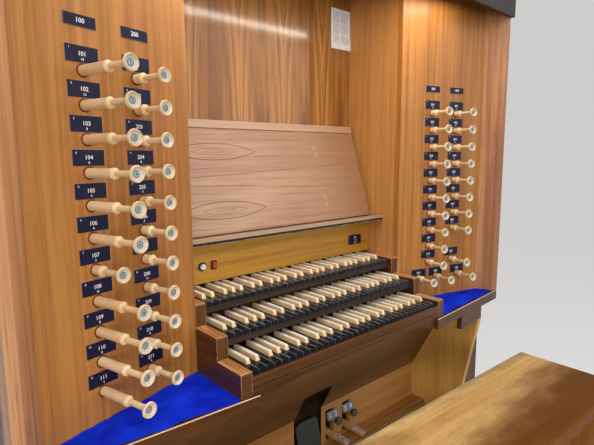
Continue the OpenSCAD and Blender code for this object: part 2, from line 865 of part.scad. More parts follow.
// Rail with a ledge that is moulded in steps: each step is lower and further forward
module toe_rail() {
  z = toe_rail_top;
  front = toe_y - toe_ledge_w;
  step_h = 8.5;
  step_w = 5;
  STEPS = 3;
  foot = front - step_w + 1;
  color("burlywood") at_datum() difference() {
    along_x(-knee_half, knee_half) polygon(concat(
      [[toe_y, z]],
      [for (i = [0:STEPS - 1], down = [0, 1]) [front - i * step_w, z - (i + down) * step_h]],
      [[foot, z - STEPS * step_h], [foot, z - toe_rail_h], [toe_y, z - toe_rail_h]]
    ));
    swell_slot();
  }
}

knee_outer = knee_half + knee_side_t;
apron_bottom = shelf_bottom - apron_h;
apron_end_y = shelf_y(knee_half) + slip_t / cos(shelf_slope);

module knee_sides() {
  top_y = shelf_y(knee_half);
  foot_y = top_y + (datum_h + apron_bottom) * tan(knee_slope);
  color("goldenrod") at_datum() both_sides() along_x(knee_half, knee_outer) polygon([
    [apron_end_y + 2, shelf_bottom], [apron_end_y + 2, apron_bottom],
    [top_y, apron_bottom], [foot_y, -datum_h],
    [case_y - slip_t, -datum_h], [case_y - slip_t, shelf_bottom]
  ]);
}

module aprons() {
  to_outer = (knee_outer - shelf_inner_x) / cos(shelf_slope);
  color("saddlebrown") at_datum() both_sides()
    translate([shelf_inner_x, -shelf_front, 0]) rotate([0, 0, shelf_slope])
      translate([0, slip_t, 0]) rotate([90, 0, 0]) linear_extrude(slip_t) polygon([
        [to_outer - apron_l, shelf_bottom], [to_outer, shelf_bottom],
        [to_outer, apron_bottom], [to_outer - apron_l - apron_slant, apron_bottom]
      ]);
}

// Toe studs with a narrow stem and a rounded head
module toe_studs() {
  stem_r = stud_r - 3;
  round_r = 4;
  stem_l = stud_l - 2 * round_r;
  color("#5a5f58") at_datum() for (x = [coupler_1_x, coupler_2_x])
    translate([x + stud_side, toe_y, lever_z + stud_lift]) rotate([90, 0, 0])
      rotate_extrude() polygon(concat(
        [[0, 0], [stem_r, 0], [stem_r, stem_l]],
        [for (a = [0:15:90]) [stud_r - round_r + round_r * cos(a), stud_l - round_r + round_r * sin(a)]],
        [[0, stud_l]]
      ));
}

// The swell pedal lies along its slope: X across, Y behind its tread, Z up the slope from the
// pedal's top edge
module swell_frame() {
  translate([swell_x, toe_y + swell_set, toe_top - swell_drop]) rotate([-swell_lean, 0, 0])
    children();
}

// Middle of the swell pedal's shaft, in the Y-Z plane
swell_pivot = [
  toe_y + swell_set + swell_pivot_y * cos(swell_lean) - swell_pivot_s * sin(swell_lean),
  toe_top - swell_drop - swell_pivot_y * sin(swell_lean) - swell_pivot_s * cos(swell_lean)
];

// Plate of the swell pedal with its round corners
module swell_plate() {
  half = swell_w / 2 - swell_r;
  low = swell_r - swell_l;
  translate([0, swell_t, 0]) rotate([90, 0, 0]) linear_extrude(swell_t) polygon(concat(
    arc_cw([-half, -swell_r], swell_r, 180),
    arc_cw([half, -swell_r], swell_r, 90),
    arc_cw([half, low], swell_r, 0),
    arc_cw([-half, low], swell_r, -90)
  ));
}

module swell_pedal() {
  rib_t = 10;
  rib_foot = 66;
  boss = 17;
  color("#4a4a48") at_datum() union() {
    swell_frame() {
      swell_plate();
      for (x = [-swell_w / 2 + rib_t, swell_w / 2 - 2 * rib_t])
        along_x(x, x + rib_t) polygon([
          [swell_t / 2, rib_foot - swell_pivot_s], [swell_t / 2, -rib_foot - swell_pivot_s],
          [swell_pivot_y + boss - shaft_r, -boss - swell_pivot_s],
          [swell_pivot_y + boss - shaft_r, boss - swell_pivot_s]
        ]);
    }
    translate([swell_x - swell_half, swell_pivot[0], swell_pivot[1]]) rotate([0, 90, 0])
      cylinder(h = 2 * swell_half, r = shaft_r);
  }
}

// Bearings on the cut ends of the toe board, bored for the shaft
module swell_bearings() {
  color("dimgray") at_datum() translate([swell_x, swell_pivot[0], swell_pivot[1]]) difference() {
    for (x = [-swell_half, swell_half - bearing_t])
      box([x, -bearing_r, -bearing_r], [x + bearing_t, bearing_r, bearing_r]);
    translate([-swell_half - 1, 0, 0]) rotate([0, 90, 0])
      cylinder(h = 2 * swell_half + 2, r = shaft_r + pin_play);
  }
}

// A coupler pedal: a wooden arm with a steel tread let into its front end, hung on a pin behind
// the toe board
pin_y = toe_y + lever_back - pin_set;
pin_z = lever_z - tread_t - lever_t / 2;
module coupler_lever() {
  tip = toe_y - lever_reach;
  half = lever_w / 2;
  end = toe_y - tread_gap;
  rear = toe_y + lever_back;
  seat = lever_z - tread_t;
  under = seat - lever_t;
  corner = tread_corner;
  difference() {
    union() {
      along_x(tread_margin - half, half - tread_margin) polygon([
        [tip + corner, under], [tip + corner, seat], [end, seat],
        [end, lever_z], [rear, lever_z], [rear, under]
      ]);
      translate([0, 0, seat]) linear_extrude(tread_t) polygon([
        [-half, end], [-half, tip + corner], [corner - half, tip],
        [half - corner, tip], [half, tip + corner], [half, end]
      ]);
    }
    translate([-half, pin_y, pin_z]) rotate([0, 90, 0]) cylinder(h = lever_w, r = pin_r + pin_play);
  }
}

module coupler_pedal_1() {
  color("silver") at_datum() translate([coupler_1_x, 0, 0]) coupler_lever();
}

module coupler_pedal_2() {
  color("silver") at_datum() translate([coupler_2_x, 0, 0]) coupler_lever();
}

// Brackets on the back of the toe board, each with the pin of one coupler pedal
module coupler_brackets() {
  reach = toe_y + lever_back;
  left = slot_left - bracket_t;
  right = slot_right + bracket_t;
  color("dimgray") at_datum() for (x = [coupler_1_x, coupler_2_x]) translate([x, 0, pin_z]) union() {
    for (low_x = [left, slot_right])
      box([low_x, toe_y + slip_t, -bracket_h], [low_x + bracket_t, reach, bracket_h]);
    translate([left, pin_y, 0]) rotate([0, 90, 0]) cylinder(h = right - left, r = pin_r);
  }
}

// Pedalboard

pedal_back_y = toe_y - toe_ledge_w + pedal_lap;
pedal_under = pedal_z - pedal_t;
pedal_front_y = pedal_set - heel_y;

module pedal_frame() {
  outer = pedal_half + pedal_rail_w;
  color("tan") at_datum() {
    both_sides() box([pedal_half, -heel_y, -datum_h], [outer, pedal_back_y, pedal_z + pedal_cheek]);
    for (y = [-heel_y, -pedal_rail_w / 2, pedal_back_y - pedal_rail_w])
      box([-pedal_half, y, -datum_h], [pedal_half, y + pedal_rail_w, pedal_under]);
  }
}

// Middle of a pedal key: its place counts naturals from the lowest one
function pedal_x(place) = (place - (PEDAL_NATURALS - 1) / 2) * pedal_pitch;
function pedal_sharp_place(i) =
  floor(i / OCTAVE_SHARPS) * OCTAVE_NATURALS + PEDAL_SHARP_AT[i % OCTAVE_SHARPS];

module pedal_naturals() {
  color("tan") at_datum() for (i = [0:PEDAL_NATURALS - 1]) translate([pedal_x(i), 0, 0])
    box([-pedal_w / 2, pedal_front_y, pedal_under], [pedal_w / 2, pedal_back_y, pedal_z]);
}

module pedal_sharps() {
  r = pedal_nose_r;
  nose = pedal_back_y - pedal_sharp_l;
  top = pedal_z + pedal_sharp_rise;
  low = pedal_z - pedal_low;
  half = pedal_w / 2 - pedal_sharp_inset;
  color("#2a1a12") at_datum() for (i = [0:PEDAL_SHARPS - 1])
    translate([pedal_x(pedal_sharp_place(i)), 0, 0]) along_x(-half, half) polygon(concat(
      [[pedal_front_y, pedal_under], [pedal_front_y, low], [nose - pedal_nose_run, low]],
      arc_cw([nose + r, top - r], r, 180),
      [[pedal_back_y, top - pedal_sharp_fall], [pedal_back_y, pedal_under]]
    ));
}

// Bench

module at_bench() {
  translate([0, datum_y - bench_y, 0]) rotate([0, 0, -bench_turn]) children();
}

module bench_top() {
  r = bench_r;
  half = bench_d / 2;
  color("goldenrod") at_bench() along_x(-bench_l / 2, bench_l / 2) polygon(concat(
    [[-half, bench_h - bench_t]],
    arc_cw([r - half, bench_h - r], r, 180),
    arc_cw([half - r, bench_h - r], r, 90),
    [[half, bench_h - bench_t]]
  ));
}

bench_end_x = bench_l / 2 - bench_inset;

// Bench ends with a waist that a large circle cuts from each edge
module bench_ends() {
  top = bench_h - bench_t;
  foot = bench_d / 2 - bench_foot;
  chord = top / 2 - bench_square;
  curve_r = (chord * chord + bench_waist * bench_waist) / (2 * bench_waist);
  color("peru") at_bench() both_sides() along_x(bench_end_x - bench_end_t, bench_end_x)
    difference() {
      translate([-foot, 0]) square([2 * foot, top]);
      for (side = [-1, 1]) translate([side * (foot - bench_waist + curve_r), top / 2])
        circle(r = curve_r, $fn = 240);
    }
}

module bench_stretcher() {
  half = bench_end_x - bench_end_t;
  color("peru") at_bench()
    box([-half, -stretcher_t / 2, stretcher_z], [half, stretcher_t / 2, stretcher_z + stretcher_h]);
}

// Stops

// One stop standing on the jamb's face, turned about its own axis: shank with a bead, neck and
// mushroom head with a dished face
module stop_knob() {
  bead = 1;
  bead_l = 3;
  lip = 1.5;
  rim_r = head_r - head_rim;
  step = shank_r - neck_r;
  flare = head_r - neck_r;
  flare_l = 19;
  flare_z = stop_out - 2 * lip - flare_l - 2;
  rotate_extrude() polygon(concat(
    [[0, -panel_t - shank_tail], [shank_r, -panel_t - shank_tail]],
    [[shank_r, shank_out - bead_l - 2 * bead], [shank_r + bead, shank_out - bead_l - bead]],
    [[shank_r + bead, shank_out - bead]],
    [for (a = [0:30:90]) [neck_r + step * cos(a), shank_out - bead + step * sin(a)]],
    [[neck_r, flare_z]],
    [for (a = [30:20:90]) [neck_r + flare * (1 - cos(a)), flare_z + flare_l * sin(a)]],
    [[head_r, stop_out - 2 * lip], [head_r - lip, stop_out], [rim_r, stop_out]],
    [for (a = [30:30:90])
      [rim_r - (rim_r - dish_r) * (1 - cos(a)), stop_out - dish_d * sin(a)]],
    [[0, stop_out - dish_d]]
  ));
}

// A stop at a place of the right jamb, pushed in by the given distance
module stop_at(place, pushed) {
  on_jamb() translate([place[0], pushed, place[1]]) rotate([90, 0, 0]) stop_knob();
}

// Row of the outer pedal column that is pushed in
PUSHED_ROW = 7;
module pedal_stop(row) {
  color("burlywood") at_datum() on_side(-1)
    stop_at(left_outer[row - 1], row == PUSHED_ROW ? stop_travel : 0);
}

module pedal_stop_1() { pedal_stop(1); }
module pedal_stop_2() { pedal_stop(2); }
module pedal_stop_3() { pedal_stop(3); }
module pedal_stop_4() { pedal_stop(4); }
module pedal_stop_5() { pedal_stop(5); }
module pedal_stop_6() { pedal_stop(6); }
module pedal_stop_7() { pedal_stop(7); }
module pedal_stop_8() { pedal_stop(8); }
module pedal_stop_9() { pedal_stop(9); }
module pedal_stop_10() { pedal_stop(10); }
module pedal_stop_11() { pedal_stop(11); }

module left_inner_stops() {
  color("burlywood") at_datum() on_side(-1) for (p = left_inner) stop_at(p, stop_travel);
}

module right_stops() {
  color("burlywood") at_datum() for (p = right_places) stop_at(p, stop_travel);
}

left_jamb();
right_jamb();
stiles();
lintel();
back_panel();
returns();
case_sides();
lower_fronts();
case_back();
case_top();
console_lamp();
keybed();
key_slip();
key_beds();
cheeks();
manual_1_naturals();
manual_1_sharps();
manual_2_naturals();
manual_2_sharps();
manual_3_naturals();
manual_3_sharps();
nameboard();
nameboard_switches();
desk_ledge();
music_desk();
shelves();
left_felt();
right_felt();
kneeboard();
toe_board();
toe_rail();
knee_sides();
aprons();
toe_studs();
swell_pedal();
swell_bearings();
coupler_pedal_1();
coupler_pedal_2();
coupler_brackets();
pedal_frame();
pedal_naturals();
pedal_sharps();
bench_top();
bench_ends();
bench_stretcher();
pedal_stop_1();
pedal_stop_2();
pedal_stop_3();
pedal_stop_4();
pedal_stop_5();
pedal_stop_6();
pedal_stop_7();
pedal_stop_8();
pedal_stop_9();
pedal_stop_10();
pedal_stop_11();
left_inner_stops();
right_stops();
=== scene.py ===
"""Finishes, cloth, labels and small fittings of a pipe organ console, built round its CAD frame."""
import math
import random

import bmesh
import bpy
from mathutils import Matrix, Vector, noise


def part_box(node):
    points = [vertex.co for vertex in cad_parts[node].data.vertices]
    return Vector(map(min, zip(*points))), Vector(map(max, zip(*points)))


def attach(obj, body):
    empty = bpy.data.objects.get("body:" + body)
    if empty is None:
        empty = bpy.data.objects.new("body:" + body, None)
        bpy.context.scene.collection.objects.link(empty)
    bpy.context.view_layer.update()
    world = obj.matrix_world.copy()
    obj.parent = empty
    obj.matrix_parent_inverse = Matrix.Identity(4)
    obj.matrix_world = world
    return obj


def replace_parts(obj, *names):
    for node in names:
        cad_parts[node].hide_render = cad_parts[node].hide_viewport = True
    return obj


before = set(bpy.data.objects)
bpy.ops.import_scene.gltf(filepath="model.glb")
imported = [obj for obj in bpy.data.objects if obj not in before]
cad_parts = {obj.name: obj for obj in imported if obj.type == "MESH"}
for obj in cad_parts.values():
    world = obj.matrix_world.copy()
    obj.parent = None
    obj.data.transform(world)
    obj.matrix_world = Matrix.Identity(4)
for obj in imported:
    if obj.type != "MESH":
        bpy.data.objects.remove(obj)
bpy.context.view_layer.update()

bpy.context.scene.view_settings.view_transform = "Standard"


def mm(*values):
    """Millimetres to metres: one number, or a vector for several."""
    scaled = [value / 1000 for value in values]
    return scaled[0] if len(scaled) == 1 else Vector(scaled)


# Places taken from the frame

SHARP_SLOPE = 5
SPLAY = math.radians(15.2)
PANEL_T = mm(20)

# In millimetres from the datum: the shelves' top, the front corner of jamb and niche, the faces of
# nameboard, toe board and back panel
SHELF_Z = -66
JAMB_FRONT = 143
NAMEBOARD_Y = 281
TOE_Y = 253
PANEL_Y = 388
SWELL_X = 68
COUPLER_X = (184, 272)

# The key datum: middle of the front top edge of the lowest manual's sharps
sharps_low, sharps_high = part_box("manual_1_sharps")
DATUM = Vector((0, sharps_low.y + mm(SHARP_SLOPE), sharps_high.z))

jamb_low, jamb_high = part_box("right_jamb")
NICHE_X = jamb_low.x
JAMB_Y = jamb_high.y - PANEL_T / math.cos(SPLAY)
JAMB_END_X = jamb_high.x - PANEL_T * math.sin(SPLAY)


def at_datum(x, y, z):
    """A place given in millimetres from the key datum, in the frame's metres."""
    return DATUM + mm(x, y, z)


def jamb_frame(side):
    """Frame of a jamb's face: X to the player's right, Y up, Z out of the face; side is -1 or 1."""
    right = Vector((math.cos(SPLAY), -side * math.sin(SPLAY), 0))
    up = Vector((0, 0, 1))
    made = Matrix((right, up, right.cross(up))).transposed().to_4x4()
    made.translation = Vector((side * NICHE_X, JAMB_Y, DATUM.z))
    return made


def on_jamb(side, u, z, out=0.0):
    """A place on a jamb's face: u from its inner edge and z above the datum, in millimetres."""
    return jamb_frame(side) @ Matrix.Translation(mm(side * u, z, out))


def facing(origin, right, up):
    """Frame with X to the right, Y up and Z towards the viewer."""
    right = Vector(right).normalized()
    up = Vector(up).normalized()
    made = Matrix((right, up, right.cross(up))).transposed().to_4x4()
    made.translation = origin
    return made


# Camera

LENS = 28.58
EYE = at_datum(-994, -885, 480)
VIEW_YAW, VIEW_PITCH, VIEW_ROLL = 41.77, 7.96, 0.39


def make_camera():
    """Camera at the photograph's viewpoint; yaw turns right from +Y, pitch down, roll clockwise."""
    yaw, pitch, roll = (math.radians(a) for a in (VIEW_YAW, VIEW_PITCH, VIEW_ROLL))
    ahead = Vector((
        math.sin(yaw) * math.cos(pitch), math.cos(yaw) * math.cos(pitch), -math.sin(pitch),
    ))
    level = Vector((math.cos(yaw), -math.sin(yaw), 0))
    dip = ahead.cross(level)
    right = level * math.cos(roll) + dip * math.sin(roll)
    down = dip * math.cos(roll) - level * math.sin(roll)
    data = bpy.data.cameras.new("camera")
    data.lens = LENS
    data.sensor_width = 36
    camera = bpy.data.objects.new("camera", data)
    camera.matrix_world = Matrix((right, -down, -ahead)).transposed().to_4x4()
    camera.location = EYE
    bpy.context.scene.collection.objects.link(camera)
    bpy.context.scene.camera = camera


make_camera()


# Stops: rows and columns on the jambs

LEFT_TOP, LEFT_PITCH = 644, 64.4
RIGHT_TOP, RIGHT_PITCH = 635, 61.9
LEFT_ROWS = [LEFT_TOP - LEFT_PITCH * row for row in range(11)]
RIGHT_ROWS = [RIGHT_TOP - RIGHT_PITCH * row for row in range(10)]
EMPTY_ROW = 8
LEFT_INNER_U, LEFT_OUTER_U = 144, 267
RIGHT_INNER_U, RIGHT_OUTER_U = 145, 261
COUPLER_U = [101, 185, 295]
COUPLER_Z = 18
STOP_OUT = 144.5
STOP_TRAVEL = 55
DISH_D = 6
PUSHED_STOP = 7


# Mesh making

def circle(radius, height=0.0, steps=32):
    """Points of a circle round Z, in millimetres."""
    turns = [2 * math.pi * i / steps for i in range(steps)]
    return [mm(radius * math.cos(a), radius * math.sin(a), height) for a in turns]


def rounded(width, height, radius, level, steps=3):
    """Points of a rectangle with round corners round Z, in millimetres."""
    points = []
    for corner, (sx, sy) in enumerate(((1, 1), (-1, 1), (-1, -1), (1, -1))):
        for i in range(steps + 1):
            a = math.pi / 2 * (corner + i / steps)
            x = sx * (width / 2 - radius) + radius * math.cos(a)
            y = sy * (height / 2 - radius) + radius * math.sin(a)
            points.append(mm(x, y, level))
    return points


class Piece:
    """Gathers one piece's faces, each with the finish that was in use when it was made."""

    def __init__(self, name):
        self.name = name
        self.bm = bmesh.new()
        self.finishes = []
        self.index = 0

    def use(self, material):
        """Makes the next faces in this finish."""
        if material not in self.finishes:
            self.finishes.append(material)
        self.index = self.finishes.index(material)
        return self

    def loft(self, rings, place=Matrix(), caps=(True, True)):
        """Joins rings of as many points each, and closes the two ends."""
        rows = [[self.bm.verts.new(place @ point) for point in ring] for ring in rings]
        count = len(rows[0])
        faces = []
        for low, high in zip(rows, rows[1:]):
            for i in range(count):
                j = (i + 1) % count
                faces.append(self.bm.faces.new((low[i], low[j], high[j], high[i])))
        if caps[0]:
            faces.append(self.bm.faces.new(list(reversed(rows[0]))))
        if caps[1]:
            faces.append(self.bm.faces.new(rows[-1]))
        for face in faces:
            face.material_index = self.index
        return self

    def lathe(self, profile, place=Matrix(), steps=32, caps=(True, True)):
        """Turns (radius, height) points round Z."""
        return self.loft([circle(r, h, steps) for r, h in profile], place, caps)

    def plate(self, width, height, thick, place, radius=1.0, chamfer=0.3, level=0.0):
        """A flat plate with round corners and a chamfered face, on the frame's XY plane."""
        top = level + thick
        inner = max(radius - chamfer, 0.1)
        return self.loft([
            rounded(width, height, radius, level),
            rounded(width, height, radius, top - chamfer),
            rounded(width - 2 * chamfer, height - 2 * chamfer, inner, top),
        ], place)

    def grid(self, point, columns, rows):
        """A surface of columns by rows cells; point(s, t) gives its points for shares 0 to 1."""
        table = [
            [self.bm.verts.new(point(i / columns, j / rows)) for i in range(columns + 1)]
            for j in range(rows + 1)
        ]
        for low, high in zip(table, table[1:]):
            for i in range(columns):
                face = self.bm.faces.new((low[i], low[i + 1], high[i + 1], high[i]))
                face.material_index = self.index
        return self

    def add(self, mesh, place):
        """Adds a copy of a finished mesh."""
        first = len(self.bm.faces)
        corners = [self.bm.verts.new(place @ vertex.co) for vertex in mesh.vertices]
        for polygon in mesh.polygons:
            self.bm.faces.new([corners[i] for i in polygon.vertices])
        self.bm.faces.ensure_lookup_table()
        for face in self.bm.faces[first:]:
            face.material_index = self.index
        return self

    def done(self, body="console", slot=None, smooth=35):
        """Makes the object, shaded soft up to the given edge angle, and lets it ride its body."""
        bmesh.ops.remove_doubles(self.bm, verts=self.bm.verts, dist=1e-7)
        bmesh.ops.recalc_face_normals(self.bm, faces=self.bm.faces)
        limit = math.radians(smooth)
        for face in self.bm.faces:
            face.smooth = True
        for edge in self.bm.edges:
            edge.smooth = len(edge.link_faces) == 2 and edge.calc_face_angle(0) < limit
        mesh = bpy.data.meshes.new(self.name)
        self.bm.to_mesh(mesh)
        self.bm.free()
        for material in self.finishes:
            mesh.materials.append(material)
        made = bpy.data.objects.new(self.name, mesh)
        bpy.context.scene.collection.objects.link(made)
        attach(made, body)
        return made


glyphs = {}


NUMBER_DEPTH = 0.15
CAPITAL_SHARE = 0.72


def number_mesh(text, height):
    """Mesh of a plain number, its middle at the origin, cached."""
    key = (text, height)
    if key not in glyphs:
        curve = bpy.data.curves.new("number", "FONT")
        curve.body = text
        curve.size = mm(height) / CAPITAL_SHARE
        curve.align_x = "CENTER"
        curve.align_y = "CENTER"
        curve.resolution_u = 2
        curve.extrude = mm(NUMBER_DEPTH) / 2
        curve.offset = mm(height) * 0.02
        made = bpy.data.objects.new("number", curve)
        bpy.context.scene.collection.objects.link(made)
        bpy.context.view_layer.update()
        ready = made.evaluated_get(bpy.context.evaluated_depsgraph_get())
        glyphs[key] = bpy.data.meshes.new_from_object(ready)
        bpy.data.objects.remove(made)
        bpy.data.curves.remove(curve)
    return glyphs[key]


# Shader making

def rgb(red, green, blue):
    """Screen colour, 0 to 255, as the renderer's linear colour."""
    def linear(value):
        value /= 255
        return value / 12.92 if value <= 0.04045 else ((value + 0.055) / 1.055) ** 2.4
    return (linear(red), linear(green), linear(blue), 1.0)


# Turns that bring the grain's direction onto Z
GRAIN_TURN = {"x": (0, -math.pi / 2, 0), "y": (math.pi / 2, 0, 0), "z": (0, 0, 0)}


class Shader:
    """One material built from nodes."""

    def __init__(self, name):
        self.material = bpy.data.materials.new(name)
        self.material.use_nodes = True
        self.nodes = self.material.node_tree.nodes
        self.links = self.material.node_tree.links
        self.surface = self.nodes["Principled BSDF"]

    def join(self, value, socket):
        if isinstance(value, bpy.types.NodeSocket):
            self.links.new(value, socket)
        else:
            socket.default_value = value

    def node(self, kind, inputs=None, **settings):
        made = self.nodes.new("ShaderNode" + kind)
        for key, value in settings.items():
            setattr(made, key, value)
        for key, value in (inputs or {}).items():
            self.join(value, made.inputs[key])
        return made

    def math(self, operation, *values):
        inputs = dict(enumerate(values))
        return self.node("Math", inputs, operation=operation).outputs[0]

    def plus(self, a, b):
        return self.math("ADD", a, b)

    def minus(self, a, b):
        return self.math("SUBTRACT", a, b)

    def times(self, a, b):
        return self.math("MULTIPLY", a, b)

    def over(self, a, b):
        return self.math("DIVIDE", a, b)

    def size(self, value):
        return self.math("ABSOLUTE", value)

    def above(self, a, b):
        return self.math("GREATER_THAN", a, b)

    def below(self, a, b):
        return self.math("LESS_THAN", a, b)

    def linear(self, value, factor, offset):
        return self.math("MULTIPLY_ADD", value, factor, offset)

    def mix(self, factor, a, b, blend="MIX"):
        inputs = {0: factor, 6: a, 7: b}
        return self.node("Mix", inputs, data_type="RGBA", blend_type=blend).outputs[2]

    def remap(self, value, low, high, to_low=0.0, to_high=1.0):
        inputs = {0: value, 1: low, 2: high, 3: to_low, 4: to_high}
        return self.node("MapRange", inputs, interpolation_type="SMOOTHSTEP").outputs[0]

    def stretched(self, vector, scale):
        return self.node("Mapping", {"Vector": vector, "Scale": scale}).outputs[0]

    def noise(self, vector, scale=(1, 1, 1), detail=3.0, rough=0.5, warp=0.0):
        inputs = {
            "Vector": self.stretched(vector, scale), "Scale": 1.0,
            "Detail": detail, "Roughness": rough, "Distortion": warp,
        }
        return self.node("TexNoise", inputs).outputs[0]

    def ramp(self, value, *stops):
        made = self.node("ValToRGB", {0: value})
        elements = made.color_ramp.elements
        while len(elements) < len(stops):
            elements.new(0.5)
        for element, (position, colour) in zip(elements, stops):
            element.position = position
            element.color = colour
        return made.outputs[0]

    def split(self, vector):
        return self.node("SeparateXYZ", {0: vector}).outputs

    def place(self):
        return self.node("TexCoord").outputs["Object"]

    def normal(self):
        """X, Y and Z of the face's own direction."""
        return self.split(self.node("NewGeometry").outputs["True Normal"])

    def edges(self, radius):
        """1 along sharp edges and 0 on flat faces."""
        soft = self.node("Bevel", {"Radius": radius}, samples=4).outputs[0]
        flat = self.node("NewGeometry").outputs["Normal"]
        inputs = {0: soft, 1: flat}
        dot = self.node("VectorMath", inputs, operation="DOT_PRODUCT").outputs["Value"]
        return self.remap(dot, 0.985, 0.8)

    def bump(self, height, distance, strength=1.0):
        inputs = {"Height": height, "Distance": distance, "Strength": strength}
        self.join(self.node("Bump", inputs).outputs[0], self.surface.inputs["Normal"])

    def finish(self, colour, rough, **sockets):
        self.join(colour, self.surface.inputs["Base Color"])
        self.join(rough, self.surface.inputs["Roughness"])
        for key, value in sockets.items():
            self.join(value, self.surface.inputs[key.replace("_", " ")])
        return self.material


def darker(colour, share):
    return tuple(channel * share for channel in colour[:3]) + (1.0,)


def wood(name, pale, deep, along="z", turn=(0, 0, 0), figure=None, figure_dark=0.5, streak=0.5,
         pore=0.35, gloss=0.4, shine=0.3, coat=0.0, worn=None, worn_r=4, stain=None, cross=None):
    """Wood with tone, streaks and pores along its grain.

    Figure draws lines over it, stain changes its colour from place to place (on some woods painted
    shade and light), and worn pales its edges, as wear on some woods and as a painted highlight on
    others. Where a face closes the board's end, the grain runs along the cross axis instead.
    """
    s = Shader(name)
    place = s.place()
    if any(turn):
        place = s.node("Mapping", {"Vector": place, "Rotation": turn}).outputs[0]
    board = s.node("Mapping", {"Vector": place, "Rotation": GRAIN_TURN[along]}).outputs[0]
    if cross:
        other = s.node("Mapping", {"Vector": place, "Rotation": GRAIN_TURN[cross]}).outputs[0]
        normal = s.normal()["xyz".index(along)]
        end = s.above(s.size(normal), 0.7)
        board = s.node("Mix", {0: end, 4: board, 5: other}, data_type="VECTOR").outputs[1]
    broad = s.noise(board, (9, 9, 0.8), detail=3, warp=0.4)
    streaks = s.noise(board, (75, 75, 1.5), detail=5, rough=0.62)
    fibre = s.noise(board, (520, 520, 11), detail=2)
    tone = s.plus(s.times(broad, 1 - streak), s.times(streaks, streak))
    colour = s.ramp(s.remap(tone, 0.34, 0.66), (0.0, deep), (1.0, pale))
    if figure:
        lines = figure(s, board)
        colour = s.mix(s.times(lines, figure_dark), colour, darker(deep, 0.45))
    pores = s.remap(fibre, 0.56, 0.72)
    colour = s.mix(s.times(pores, pore), colour, darker(deep, 0.5))
    if stain:
        colour = stain(s, place, colour)
    rough = s.remap(streaks, 0.3, 0.7, gloss + 0.05, gloss - 0.04)
    if worn:
        scuffs = s.remap(s.noise(place, (45, 45, 45), detail=4), 0.42, 0.6)
        mask = s.times(s.edges(mm(worn_r)), s.linear(scuffs, 0.6, 0.35))
        colour = s.mix(mask, colour, worn)
    s.bump(s.minus(streaks, s.times(pores, 0.6)), 0.0003, 0.5)
    return s.finish(colour, rough, Specular_IOR_Level=shine, Coat_Weight=coat, Coat_Roughness=0.13)


def ring_lines(s, phase, sharp=5.0):
    """Thin lines where the phase passes whole numbers, hard on one side and soft on the other."""
    saw = s.math("FRACT", phase)
    return s.math("POWER", saw, sharp)


def line(s, distance, width):
    """1 where the distance is nought, fading to 0 at the given width in millimetres."""
    return s.remap(s.size(distance), 0.0, mm(width), 1.0, 0.0)


# Leaves of the back panel in metres: their width, one joint, the height of the figure's root, and the
# gap between its lines; the rise flattens the lines into a steep V
LEAF_W = 0.1845
LEAF_JOINT = -0.097
LEAF_ROOT = 1.30
LEAF_LINE_GAP = 0.012
LEAF_RISE = 0.11


def leaves(s, place, colour):
    """Veneer leaves side by side: dark lines meet in a V at each joint, between bright strips."""
    x, _, z = s.split(place)
    share = s.over(s.minus(x, LEAF_JOINT), LEAF_W)
    number = s.math("FLOOR", share)
    fold = s.size(s.minus(s.minus(share, number), 0.5))
    across = s.times(fold, LEAF_W)
    inputs = {0: across, 1: s.times(number, 0.006), 2: z}
    folded = s.node("CombineXYZ", inputs).outputs[0]
    flank = s.remap(fold, 0.16, 0.4)
    depth = s.times(s.minus(z, LEAF_ROOT), LEAF_RISE)
    square = s.plus(s.times(across, across), s.times(depth, depth))
    uneven = s.times(s.noise(folded, (26, 26, 1.3)), 2.2)
    phase = s.plus(s.over(s.math("SQRT", square), LEAF_LINE_GAP), uneven)
    fade = s.remap(s.noise(folded, (40, 40, 3)), 0.3, 0.6, 0.35, 1.0)
    lines = s.times(s.times(ring_lines(s, phase, 3.0), flank), fade)
    half_phase = s.linear(phase, -0.5, 0.3)
    strips = s.times(ring_lines(s, half_phase, 1.6), flank)
    clouds = s.remap(s.noise(folded, (20, 20, 2.4), detail=5, rough=0.6), 0.42, 0.66)
    blotch = s.times(clouds, s.linear(flank, -0.75, 0.85))
    colour = s.mix(blotch, colour, rgb(98, 58, 26))
    colour = s.mix(s.times(strips, 0.75), colour, rgb(212, 150, 80))
    colour = s.mix(s.times(lines, 0.95), colour, rgb(74, 40, 18))
    seam = s.above(fold, 0.497)
    return s.mix(s.times(seam, 0.6), colour, rgb(70, 38, 18))


# Figure of the desk in millimetres: the joint between its two leaves, the eye of each leaf from
# that joint, the first line that parts from it, the gap between lines, and the pale knot
DESK_JOINT = 162
EYE_X, EYE_UP, EYE_L, EYE_H = -228, 90, 152, 27
PARTING_UP, PARTING_RISE = 28, 0.048
LINE_GAP = 26
KNOT_X, KNOT_W, KNOT_H = 188, 12, 26

# Rings of an eye: shares of its length and height, width of the line in millimetres, darkness
EYE_RINGS = ((1.0, 1.0, 2.2, 1.0), (0.52, 0.4, 1.8, 0.6), (0.25, 0.13, 2.0, 0.5))


